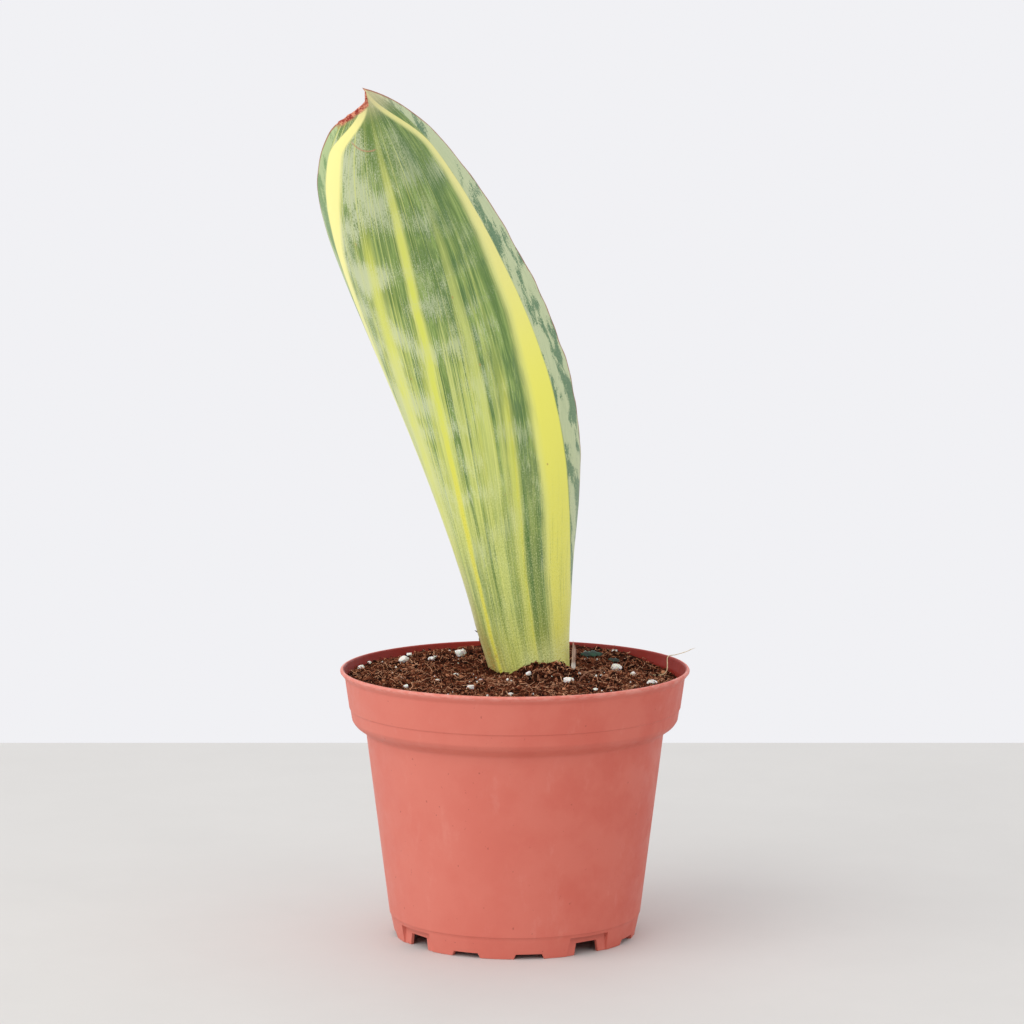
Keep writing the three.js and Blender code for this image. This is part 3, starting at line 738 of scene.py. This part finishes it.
    # the two broad yellow bands; both run in to the tip, the left one past the tear
    topPull = step(along, 0.925, 1.0)
    pulled = minus(across, times(topPull, 0.62))
    pulled = add(pulled, times(feather, 0.6))
    leftIn = step(along, 0.76, 0.9, -0.67, -0.55)
    leftEdge = minus(pulled, leftIn)
    leftBand = times(step(pulled, -0.815, -0.78), step(leftEdge, 0.03, -0.05))
    leftColour = shades(along, 0.55, 0.85, "#dcdfa2", "#f3eda2")
    skin = paint.mix(times(leftBand, step(across, 0.05, -0.2)), skin, leftColour)
    tipShare = paint.math("MAXIMUM", paint.math("MULTIPLY_ADD", along, 11.1, -10.0), 0.0)
    tipPull = times(tipShare, tipShare)
    bandPlace = add(wavyLane, times(tipPull, 0.62))
    bandPlace = minus(bandPlace, step(along, 0.6, 0.25, 0.0, 0.075))
    rightIn = step(bandPlace, 0.625, 0.69)
    outerPlace = add(across, times(tipPull, 0.5))
    outerPlace = add(outerPlace, step(along, 0.6, 0.3, 0.0, 0.015))
    rightOut = step(outerPlace, 0.755, 0.74)
    rightBand = times(rightIn, rightOut)
    rightColour = shades(along, 0.5, 0.85, "#e2df6a", "#dfda96")
    palerIn = times(step(bandPlace, 0.74, 0.66), 0.5)
    rightColour = cover(rightColour, "#cdd596", palerIn)
    faded = step(bandPlace, 0.64, 0.73, 0.6, 1.0)
    lowFull = paint.math("MAXIMUM", faded, step(along, 0.62, 0.45))
    skin = paint.mix(times(rightBand, lowFull), skin, rightColour)
    skin = cover(skin, "#cdc4a2", step(along, 0.955, 0.995), 0.75)

    # thin dark lines low on the leaf; the foot is olive yellow, browner at its left
    darkLine = times(step(streak, 0.5, 0.38), step(hair, 0.42, 0.6))
    darkLine = times(darkLine, step(along, 0.45, 0.2))
    skin = cover(skin, "#4c7036", darkLine, central, 0.75)
    footTint = step(along, 0.2, 0.05, 0.0, 0.36)
    footColour = shades(across, -0.15, -0.5, "#cfca48", "#bb9a44")
    skin = paint.mix(footTint, skin, footColour)
    goldLine = step(paint.math("ABSOLUTE", add(wavyLane, 0.003)), 0.032, 0.014)
    skin = cover(skin, "#dcd44a", goldLine, step(along, 0.6, 0.3), 0.75)
    leftBrown = times(step(across, -0.46, -0.62), step(along, 0.36, 0.1))
    leftBrown = times(leftBrown, step(streak, 0.3, 0.6))
    skin = cover(skin, "#8a6838", leftBrown, 0.6)
    stain = step(noise(sheet, (0.3, 0.5, 1), 5, 0.7), 0.46, 0.62)
    stainPlace = times(step(along, 0.16, 0.09), step(lane, 0.12, -0.05))
    skin = cover(skin, "#b5843a", stain, stainPlace, 0.6)
    paleFoot = times(step(lane, 0.25, 0.4), step(along, 0.13, 0.085))
    paleFoot = times(paleFoot, step(grain, 0.4, 0.55))
    skin = cover(skin, "#e0e4b0", paleFoot, 0.6)
    pale = times(step(grain, 0.52, 0.6), step(along, 0.5, 0.2, 0.0, 0.5))
    skin = cover(skin, "#e2e5aa", pale)
    greenSpeck = times(step(grain, 0.46, 0.38), step(along, 0.5, 0.2, 0.0, 0.55), central)
    skin = cover(skin, "#5c7a38", greenSpeck)
    mud = step(noise(sheet, (0.9, 0.9, 1), 4, 0.7), 0.6, 0.7)
    skin = cover(skin, "#5a3a26", mud, step(along, 0.115, 0.085, 0.0, 0.7))

    # small dry specks and one thin scar near the tip, part of a ring
    speck = step(paint.cells(paint.stretched(sheet, (0.11, 0.07, 1)), 1), 0.05, 0.02)
    skin = cover(skin, "#a98a52", speck, 0.7)
    flat = paint.stretched(sheet, (1, 1, 0))
    scarMiddle = (-2.6, 213.0, 0)
    fromScar = paint.node("ShaderNodeVectorMath", {0: flat, 1: scarMiddle}, operation="DISTANCE")
    fromScar = fromScar.outputs["Value"]
    scarLine = step(paint.math("ABSOLUTE", minus(fromScar, 6.9)), 0.3, 0.12)
    scarPart = times(step(across, -0.03, -0.08), step(across, -0.5, -0.42))
    scarPart = times(step(along, 0.945, 0.94), scarPart)
    skin = cover(skin, "#b98a72", scarLine, scarPart, 0.7)

    # the red-brown margin, and the fleshy torn edge with painted highlights and painted shadow
    edgeNoise = noise(sheet, (0.2, 0.35, 1), 5, 0.65)
    edgeWidth = paint.math("MULTIPLY_ADD", edgeNoise, 1.5, 0.45)
    margin = paint.math("DIVIDE", rim, edgeWidth)
    skin = cover(skin, "#94503f", step(margin, 1.05, 0.5, 0.0, 0.88))
    torn = times(paint.attribute("torn"), step(rim, 4.4, 2.2))
    # the torn edge's red flesh, mixed from deep red painted shadow to pinkish painted highlights
    fleshLightNoise = noise(sheet, (0.8, 1.2, 1), 4, 0.7)
    fleshWithPaintedLight = shades(fleshLightNoise, 0.42, 0.6, "#8f2f26", "#d98e76")
    skin = paint.mix(torn, skin, fleshWithPaintedLight)

    ribs = add(times(hair, 0.5), times(streak, 0.5))
    paint.bump(ribs, 0.3, 0.0004)
    skin = paint.mix(1.0, skin, (1.13, 1.13, 1.0, 1), "MULTIPLY")
    roughness = step(bloom, 0.0, 1.0, 0.42, 0.58)
    return paint.paint(skin, roughness)


leafPiece = place(buildLeaf(leaf, leafPaint()), "leaf", "leaf")
print("leaf ready:", len(leafPiece.data.polygons), "faces")


# potting mix: a closed body whose top is a lumpy height map, with loose crumbs and fibres on it

mix = {
    "depthBelowRim": 2.6, "clearance": 0.3,
    "heap": 4.4, "heapSpread": 7.5, "dip": 1.2, "hollow": 3.0, "hollowSpread": 13.0,
    "crest": 2.3, "crestSpread": 21.0,
    "lumps": (0.6, 1.15, 0.6), "lumpSizes": (13, 4.6, 1.9), "sunk": 1.0,
    "rings": 110, "spokes": 400,
    "crumbs": 7200, "fibres": 4200, "grains": 90,
}


def bump2d(x, y, centreX, centreY, spread):
    return np.exp(-((x - centreX) ** 2 + (y - centreY) ** 2) / (2 * spread ** 2))


def mixHeight(x, y):
    # the mix's level, plus a heap at the leaf's foot and a crest behind it, less a dip at its left and a
    # hollow at the pot's right
    footX, footY, rim = leaf["foot"][0], leaf["foot"][1], pot["rimRadius"]
    heap = mix["heap"] * bump2d(x, y, footX - 2, footY - 8, mix["heapSpread"])
    dip = mix["dip"] * bump2d(x, y, footX - 21, footY - 6, mix["heapSpread"])
    hollow = mix["hollow"] * bump2d(x, y, 0.8 * rim, 0.23 * rim, mix["hollowSpread"])
    crest = mix["crest"] * bump2d(x, y, 0.17 * rim, 0.83 * rim, mix["crestSpread"])
    waves = 0.4 * np.sin(0.19 * x + 0.6) * np.cos(0.16 * y - 0.4)
    return pot["height"] - mix["depthBelowRim"] + heap + crest - dip - hollow + waves


def mixRelief(x, y):
    # lumps of three sizes; the two smaller have creases between them
    flat = np.stack([np.ravel(x), np.ravel(y)], -1)
    coarse, middle, fine = (waveNoise(flat, size, k + 1, 2) for k, size in enumerate(mix["lumpSizes"]))
    high = mix["lumps"]
    relief = high[0] * coarse + high[1] * np.abs(middle) + high[2] * np.abs(fine) - mix["sunk"]
    return relief.reshape(np.shape(x))


def mixTop(x, y):
    return mixHeight(x, y) + mixRelief(x, y)


def mixEdge():
    profile = potInside(pot, pot["wall"] + mix["clearance"])
    level = pot["height"] - mix["depthBelowRim"]
    low, high = profile[3], profile[4]
    return low[0] + (high[0] - low[0]) * (level - low[1]) / (high[1] - low[1])


def buildMix(p, material):
    edge = mixEdge()
    spokes = circle(p["spokes"])
    side = potInside(pot, pot["wall"] + p["clearance"])[:4]
    side[0] = (side[0][0], side[0][1] + p["clearance"])
    shares = 1 - np.linspace(0, 1, p["rings"] + 1)[:-1] ** 0.95
    radii = np.concatenate([[side[0][0] * 0.5], [s[0] for s in side], edge * shares])
    rr, aa = np.meshgrid(radii, spokes, indexing="ij")
    x, y = rr * np.sin(aa), -rr * np.cos(aa)
    z = mixHeight(x, y)
    fade = smoothStep(edge - rr, 0.0, 1.2)
    z = z + mixRelief(x, y) * fade
    sideHeights = [side[0][1]] + [s[1] for s in side]
    z[:len(sideHeights)] = np.array(sideHeights)[:, None]
    z[len(sideHeights)] = np.minimum(z[len(sideHeights)], mixHeight(x, y)[len(sideHeights)] - 0.3)
    corners = np.stack([x, y, z], -1).reshape(-1, 3)
    count, rows = p["spokes"], len(radii)
    last = len(corners)
    top = mixHeight(np.array([0.0]), np.array([0.0]))[0]
    corners = np.vstack([corners, [[0, 0, side[0][1]], [0, 0, top]]])
    return makeMesh("mixBody", corners, [gridFaces(rows, count, wrap=True), *endFans(count, last)], material)


def mixPaint():
    paint = Paint("coirMix", Roughness=0.95, Specular_IOR_Level=0.08)
    spot = paint.objectPlace()
    grain = paint.noise(spot, 900, 6, 0.7)
    base = paint.shades(grain, 0.35, 0.7, "#150704", "#43200f")
    patch = paint.step(paint.noise(spot, 300, 4), 0.5, 0.75)
    base = paint.cover(base, "#7a4028", patch, 0.45)
    paint.bump(grain, 0.7, 0.0008)
    return paint.paint(base)


def loosePaint(name, codes, roughness=0.95):
    # each loose bit has a shade from 0 to 1 that picks its colour
    paint = Paint(name, Roughness=roughness, Specular_IOR_Level=0.1)
    spot = paint.objectPlace()
    shade = paint.attribute("shade")
    base = paint.shades(shade, 0.15, 0.55, codes[0], codes[1])
    base = paint.cover(base, codes[2], paint.step(shade, 0.6, 0.95))
    grain = paint.noise(spot, 1600, 4, 0.7)
    base = paint.cover(base, codes[0], paint.step(grain, 0.4, 0.7), 0.4)
    paint.bump(grain, 0.5, 0.0004)
    return paint.paint(base)


def scatterSpots(count, inset=0.6, seed=0, clear=2.6):
    # random places on the mix, kept off the leaf's foot
    draw = np.random.default_rng(seed)
    turn = draw.uniform(0, 2 * math.pi, count * 2)
    radius = (mixEdge() - inset) * np.sqrt(draw.uniform(0, 1, count * 2))
    spots = np.stack([radius * np.sin(turn), -radius * np.cos(turn)], -1)
    v = np.linspace(-1, 1, 41)
    u = np.full_like(v, 0.075)
    arc = leafSurface(leaf, u, v, v, np.full_like(v, 0.5))[:, :2]
    gap = np.linalg.norm(spots[:, None] - arc[None], axis=-1)
    reach = clear + 2.2 * (1 - v ** 2)
    return spots[(gap > reach).all(1)][:count]


def ballPoints(levels):
    work = bmesh.new()
    bmesh.ops.create_icosphere(work, subdivisions=levels, radius=1)
    points = np.array([v.co[:] for v in work.verts])
    faces = np.array([[v.index for v in f.verts] for f in work.faces])
    work.free()
    return points, faces


def turns(draw, count):
    # random rotations, from unit quaternions
    q = unit(draw.normal(size=(count, 4)))
    w, x, y, z = q.T
    return np.stack([
        np.stack([1 - 2 * (y * y + z * z), 2 * (x * y - w * z), 2 * (x * z + w * y)], -1),
        np.stack([2 * (x * y + w * z), 1 - 2 * (x * x + z * z), 2 * (y * z - w * x)], -1),
        np.stack([2 * (x * z - w * y), 2 * (y * z + w * x), 1 - 2 * (x * x + y * y)], -1)], 1)


def lumps(name, centres, sizes, seed, material, roughness=0.35, flatness=0.75, levels=1):
    # every lump is a ball whose corners are pushed in and out at random, then stretched and turned
    draw = np.random.default_rng(seed)
    points, faces = ballPoints(levels)
    count = len(centres)
    push = 1 + draw.uniform(-roughness, roughness, (count, len(points), 1))
    ranges = [(0.8, 1.25), (0.8, 1.1), (flatness * 0.8, flatness * 1.1)]
    stretch = np.stack([draw.uniform(*limits, count) for limits in ranges], -1)
    shapes = points[None] * push * stretch[:, None] * (sizes / 2)[:, None, None]
    shapes = np.einsum("nij,nkj->nki", turns(draw, count), shapes)
    corners = (shapes + centres[:, None]).reshape(-1, 3)
    allFaces = copies(faces, count, len(points))
    shade = np.repeat(draw.uniform(0, 1, count), len(points))
    return makeMesh(name, corners, [allFaces], material, {"shade": shade}, sharpAngle=50)


def buildCrumbs(p, material):
    spots = scatterSpots(p["crumbs"], seed=21)
    draw = np.random.default_rng(22)
    sizes = np.clip(draw.lognormal(-0.35, 0.4, len(spots)), 0.35, 1.9)
    nearFoot = bump2d(*spots.T, leaf["foot"][0] - 2, leaf["foot"][1] - 8, 9)
    sizes = sizes * (1 + 0.15 * nearFoot)
    z = mixTop(*spots.T) + 0.16 * sizes
    return lumps("mixCrumbs", np.column_stack([spots, z]), sizes, 23, material)


def buildFibres(p, material):
    # each fibre is a thin three-sided tube along a bent line:
    # start + direction x length + a sideways bow and a rise
    draw = np.random.default_rng(31)
    spots = scatterSpots(p["fibres"], inset=2.0, seed=32, clear=3.0)
    count, steps, sides = len(spots), 6, 3
    t = np.linspace(-0.5, 0.5, steps)
    heading = draw.uniform(0, 2 * math.pi, count)
    length = np.clip(draw.lognormal(1.25, 0.45, count), 1.5, 9)
    bow = draw.normal(0, 0.22, count) * length
    lift = np.abs(draw.normal(0, 0.35, count)) + 0.1
    tilt = draw.normal(0, 0.22, count) * length
    forward = np.stack([np.cos(heading), np.sin(heading)], -1)
    sideways = np.stack([-forward[:, 1], forward[:, 0]], -1)
    flat = spots[:, None] + forward[:, None] * (length[:, None] * t)[..., None]
    flat = flat + sideways[:, None] * (bow[:, None] * (0.25 - t ** 2) * 4)[..., None]
    reach = np.linalg.norm(flat, axis=-1, keepdims=True)
    flat = flat * np.minimum(1, (mixEdge() - 0.5) / np.maximum(reach, 1e-6))
    z = mixTop(flat[..., 0], flat[..., 1]) + lift[:, None]
    z = z + np.maximum(-0.3, tilt[:, None] * t * 0.8)
    radius = draw.uniform(0.07, 0.17, count)[:, None] * (1 - 1.2 * t ** 2)[None]
    around = circle(sides)
    ring = np.stack([np.cos(around), np.sin(around)], -1)
    across = sideways[:, None, None, :] * ring[None, None, :, :1] * radius[:, :, None, None]
    xy = flat[:, :, None, :] + across
    zz = z[:, :, None] + ring[None, None, :, 1] * radius[:, :, None]
    corners = np.concatenate([xy, zz[..., None]], -1).reshape(-1, 3)
    quads = copies(gridFaces(steps, sides, wrap=True), count, steps * sides)
    caps = np.array([[2, 1, 0], [steps * sides - 3, steps * sides - 2, steps * sides - 1]])
    tris = copies(caps, count, steps * sides)
    shade = np.repeat(draw.uniform(0, 1, count), steps * sides)
    return makeMesh("coirFibres", corners, [quads, tris], material, {"shade": shade})


def perlitePaint():
    paint = Paint("perliteChalk", Roughness=0.92, Subsurface_Weight=0.15, Subsurface_Scale=0.001)
    spot = paint.objectPlace()
    pit = paint.noise(spot, 2200, 5, 0.7)
    base = paint.shades(pit, 0.3, 0.55, "#c9c0ae", "#f3f1ea")
    dirt = paint.step(paint.noise(spot, 420, 4, 0.6), 0.56, 0.72)
    base = paint.cover(base, "#8d6b54", dirt, 0.55)
    paint.bump(pit, 0.8, 0.0004)
    return paint.paint(base)


def buildChips(material):
    # each chip is a ball pushed in by waves and by flat cuts, as large as its CAD box and a little higher
    draw = np.random.default_rng(41)
    points, faces = ballPoints(3)
    allCorners, allFaces, names = [], [], sorted(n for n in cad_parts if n.startswith("perlite_"))
    for k, name in enumerate(names):
        low, high = (np.array(corner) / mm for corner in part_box(name))
        half = (high - low) / 2
        bumps = 1 + 0.2 * waveNoise(points, 1.6, 50 + k, 2) + 0.13 * waveNoise(points, 0.6, 90 + k, 2)
        shape = points * bumps[:, None]
        for cut in unit(draw.normal(size=(9, 3))):
            over = np.maximum(0, shape @ cut - draw.uniform(0.6, 0.8))
            shape = shape - over[:, None] * cut
        shape = shape / np.abs(shape).max(0) * half
        allCorners.append(shape + (low + high) / 2 + np.array([0, 0, 0.15 * half[2]]))
        allFaces.append(faces + k * len(points))
    piece = makeMesh("perliteChips", np.vstack(allCorners), allFaces, material, sharpAngle=60)
    return place(piece, "perlite", *names)


place(buildMix(mix, mixPaint()), "coir_mix", "potting_mix")
place(buildCrumbs(mix, loosePaint("coirCrumbs", ("#1c0803", "#63301d", "#c08360"))), "coir_mix")
place(buildFibres(mix, loosePaint("coirFibre", ("#4a1e10", "#965438", "#e0a985"))), "coir_mix")
perliteMaterial = perlitePaint()
buildChips(perliteMaterial)
grainSpots = scatterSpots(mix["grains"], inset=1.5, seed=61)
grainSizes = np.clip(np.random.default_rng(62).lognormal(-0.45, 0.35, len(grainSpots)), 0.35, 1.2)
grainZ = mixTop(*grainSpots.T) + 0.35 * grainSizes
grainCentres = np.column_stack([grainSpots, grainZ + 0.2])
place(lumps("perliteGrains", grainCentres, grainSizes, 63, perliteMaterial, 0.25, 0.8), "perlite")
print("potting mix and perlite ready")


# loose strands: a round profile along a smooth line, thinner to its end and a little uneven

def overMix(x, y, lift):
    return (x, y, float(mixHeight(np.array(x), np.array(y))) + lift)


def smoothLine(points, steps):
    # a Catmull-Rom line through the points
    points = np.array(points, float)
    padded = np.vstack([2 * points[0] - points[1], points, 2 * points[-1] - points[-2]])
    t = np.linspace(0, len(points) - 1 - 1e-9, steps)
    k = t.astype(int)
    f = (t - k)[:, None]
    a, b, c, d = (padded[k + n] for n in range(4))
    square, cube = 2 * a - 5 * b + 4 * c - d, 3 * b - a - 3 * c + d
    return 0.5 * (2 * b + (c - a) * f + square * f ** 2 + cube * f ** 3)


def buildStrand(name, points, radius, material, seed, taper=0.5, steps=90, sides=8):
    line = smoothLine(points, steps)
    sway = np.stack([waveNoise(line, 5, seed + k, 2) for k in range(3)], -1)
    line = line + 0.12 * sway * smoothStep(np.linspace(0, 1, steps), 0, 0.1)[:, None]
    along = unit(np.gradient(line, axis=0))
    first = unit(np.cross(along, [0.3, 0.2, 0.93]))
    second = np.cross(along, first)
    t = np.linspace(0, 1, steps)
    radii = radius * (1 - taper * t) * (1 + 0.18 * waveNoise(line, 2.0, seed + 5, 2))
    radii = radii * np.sqrt(np.clip((1 - t) * 12, 0.02, 1))
    turn = circle(sides)
    ring = first[:, None] * np.cos(turn)[None, :, None] + second[:, None] * np.sin(turn)[None, :, None]
    corners = (line[:, None] + ring * radii[:, None, None]).reshape(-1, 3)
    caps = [np.arange(sides)[::-1][None], (np.arange(sides) + (steps - 1) * sides)[None]]
    shade = np.repeat(t, sides)
    return makeMesh(name, corners, [gridFaces(steps, sides, wrap=True), *caps], material, {"shade": shade})


rim = pot["rimRadius"]
footX, footY = leaf["foot"][:2]
bearing = math.radians(107)
crossing = np.array([rim * math.sin(bearing), -rim * math.cos(bearing), pot["height"] + 1.0])
strands = {
    "paleRoot": {"node": "pale_root", "radius": 0.24, "taper": 0.5,
                 "colours": ("#b59c78", "#cfbb98", "#dccdb0"),
                 "points": [overMix(0.79 * rim, 0.25 * rim, 0.2), overMix(0.845 * rim, 0.215 * rim, 0.5),
                            overMix(0.88 * rim, 0.225 * rim, 2), crossing + (-4, 0.2, -0.3),
                            crossing + (-0.6, 0.3, 0.6), crossing + (5.5, 1.4, 2.6)]},
    "brownRoot": {"node": "brown_root", "radius": 0.32, "taper": 0.5,
                  "colours": ("#6d4331", "#9a6c51", "#b98e70"),
                  "points": [overMix(footX + 7, footY - 30, 0.8), overMix(footX + 9.5, footY - 19, 1.5),
                             overMix(footX + 12.5, footY - 5, 1.3), overMix(footX + 16.5, footY + 6, 0.8)]},
    "dryCurl": {"node": "dry_curl", "radius": 0.32, "taper": 0.4,
                "colours": ("#2a1c1a", "#38262a", "#4a3430"),
                "points": [overMix(-0.188 * rim, 0.667 * rim, -2), overMix(-0.193 * rim, 0.667 * rim, 2.8),
                           overMix(-0.21 * rim, 0.658 * rim, 5.4), overMix(-0.197 * rim, 0.65 * rim, 7),
                           overMix(-0.237 * rim, 0.65 * rim, 8.6)]},
}
for name, strand in strands.items():
    material = loosePaint(name + "Skin", strand["colours"], 0.8)
    piece = buildStrand(name, strand["points"], strand["radius"], material, 70, strand["taper"])
    place(piece, strand["node"], strand["node"])


# dry sheath: a thin bowed sheet with a frayed top

sheath = {
    "width": 2.2, "height": 10.0, "thickness": 0.6, "buried": 4.0,
    "right": 6.2, "behind": 5.0, "rows": 60, "columns": 24,
    "frayDepth": 0.16, "slant": 0.1, "narrowing": 0.45, "edgeWave": 0.2, "bow": 0.12,
}


def closedSheet(name, front, back, material):
    # two grids of points joined along their four edges
    rows, columns = front.shape[:2]
    corners = np.concatenate([front, back[:, ::-1]], 1)
    faces = gridFaces(rows, columns * 2, wrap=True)
    j = np.arange(columns - 1)
    low = np.stack([j + 1, j, 2 * columns - 1 - j, 2 * columns - 2 - j], -1)
    high = low[:, ::-1] + (rows - 1) * columns * 2
    return makeMesh(name, corners.reshape(-1, 3), [faces, low, high], material, sharpAngle=60)


def buildSheath(p, material):
    share, side = np.meshgrid(np.linspace(0, 1, p["rows"]), np.linspace(-1, 1, p["columns"]), indexing="ij")
    level = pot["height"] - mix["depthBelowRim"]
    frayed = p["frayDepth"] * np.abs(np.sin(side * 9 + 1)) * smoothStep(share, 0.5, 1.0)
    fray = 1 - frayed - p["slant"] * side * share
    z = level - p["buried"] + (p["buried"] + p["height"]) * share * fray
    across = p["width"] / 2 * (1 - p["narrowing"] * share ** 2) * side
    across = across + p["edgeWave"] * np.sin(share * 9) * side
    bow = p["bow"] * across ** 2 + 0.3 * np.sin(5 * share) + 0.1 * np.sin(side * 7 + share * 3)
    x = footX + p["right"] + 0.6 * share + across * 0.8
    y = footY + p["behind"] + across * 0.6 + bow
    thin = p["thickness"] * 0.5 * (0.35 + 0.65 * (1 - share)) * np.sqrt(1.02 - side ** 2)
    return closedSheet("drySheath", np.stack([x, y - thin, z], -1), np.stack([x, y + thin, z], -1), material)


def sheathPaint():
    paint = Paint("paperSheath", Roughness=0.8)
    spot = paint.objectPlace()
    lines = paint.noise(paint.stretched(spot, (1, 1, 0.12)), 1800, 4, 0.6)
    base = paint.shades(lines, 0.35, 0.65, "#9a7560", "#d9bca6")
    height = paint.node("ShaderNodeSeparateXYZ", {0: spot}).outputs["Z"]
    base = paint.cover(base, "#efe6d8", paint.step(height, 0.0935, 0.0915))
    paint.bump(lines, 0.6, 0.0003)
    return paint.paint(base)


place(buildSheath(sheath, sheathPaint()), "dry_sheath", "dry_sheath")


# scraps of leaf: flat pointed pieces, bent and torn at the edge

scrapShape = {
    "rows": 40, "columns": 14, "width": 0.3, "bend": 0.12, "arch": 0.11, "tilt": 0.62,
    "cup": 0.25, "thickness": 0.44, "above": 1.1,
}
scraps = {
    "leafScrap1": {"node": "leaf_scrap_1", "half": 3.9, "turn": 0.1, "place": (0.45, 0.53)},
    "leafScrap2": {"node": "leaf_scrap_2", "half": 2.3, "turn": -0.5, "place": (0.58, 0.46)},
}


def buildScrap(name, p, material, seed):
    s = scrapShape
    t, side = np.meshgrid(np.linspace(-1, 1, s["rows"]), np.linspace(-1, 1, s["columns"]), indexing="ij")
    half = p["half"]
    torn = 1 + 0.22 * np.sin(t * 9 + seed) + 0.1 * np.sin(t * 23)
    outline = half * s["width"] * (1 - np.abs(t) ** 2.4) ** 0.8 * torn
    x = half * t
    y = outline * side + s["bend"] * half * np.cos(t * 2)
    z = s["arch"] * half * np.cos(t * 1.3) + s["tilt"] * outline * side
    z = z - s["cup"] * side ** 2 + 0.1 * np.sin(t * 7)
    thin = s["thickness"] / 2 * np.sqrt(1.02 - side ** 2)
    cosine, sine = math.cos(p["turn"]), math.sin(p["turn"])
    turned = (x * cosine - y * sine, x * sine + y * cosine)
    spotX, spotY = p["place"][0] * rim, p["place"][1] * rim
    height = overMix(spotX, spotY, s["above"])[2]
    front = np.stack([turned[0] + spotX, turned[1] + spotY, z + height - thin], -1)
    back = np.stack([turned[0] + spotX, turned[1] + spotY, z + height + thin], -1)
    return closedSheet(name, front, back, material)


def scrapPaint():
    paint = Paint("scrapSkin", Roughness=0.5)
    spot = paint.objectPlace()
    base = paint.shades(paint.noise(spot, 500, 4), 0.35, 0.65, "#081a10", "#1c4a32")
    return paint.paint(base)


scrapMaterial = scrapPaint()
for seed, (name, scrap) in enumerate(scraps.items()):
    place(buildScrap(name, scrap, scrapMaterial, seed), "leaf_scrap", scrap["node"])
print("strands, sheath and scraps ready")


# rhizome and roots lie in the mix and keep their CAD shapes

def rootPaint(name, dark, light):
    paint = Paint(name, Roughness=0.75)
    spot = paint.objectPlace()
    rings = paint.noise(spot, 260, 5, 0.6)
    paint.bump(rings, 0.4, 0.0005)
    return paint.paint(paint.shades(rings, 0.35, 0.65, dark, light))


rhizomeMaterial = rootPaint("rhizomeSkin", "#a9773a", "#dcb877")
rootMaterial = rootPaint("rootSkin", "#a37545", "#d6ab72")
for name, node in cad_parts.items():
    if name == "rhizome" or name.startswith("root_"):
        node.data.materials.clear()
        node.data.materials.append(rhizomeMaterial if name == "rhizome" else rootMaterial)

print("rhizome and roots ready")
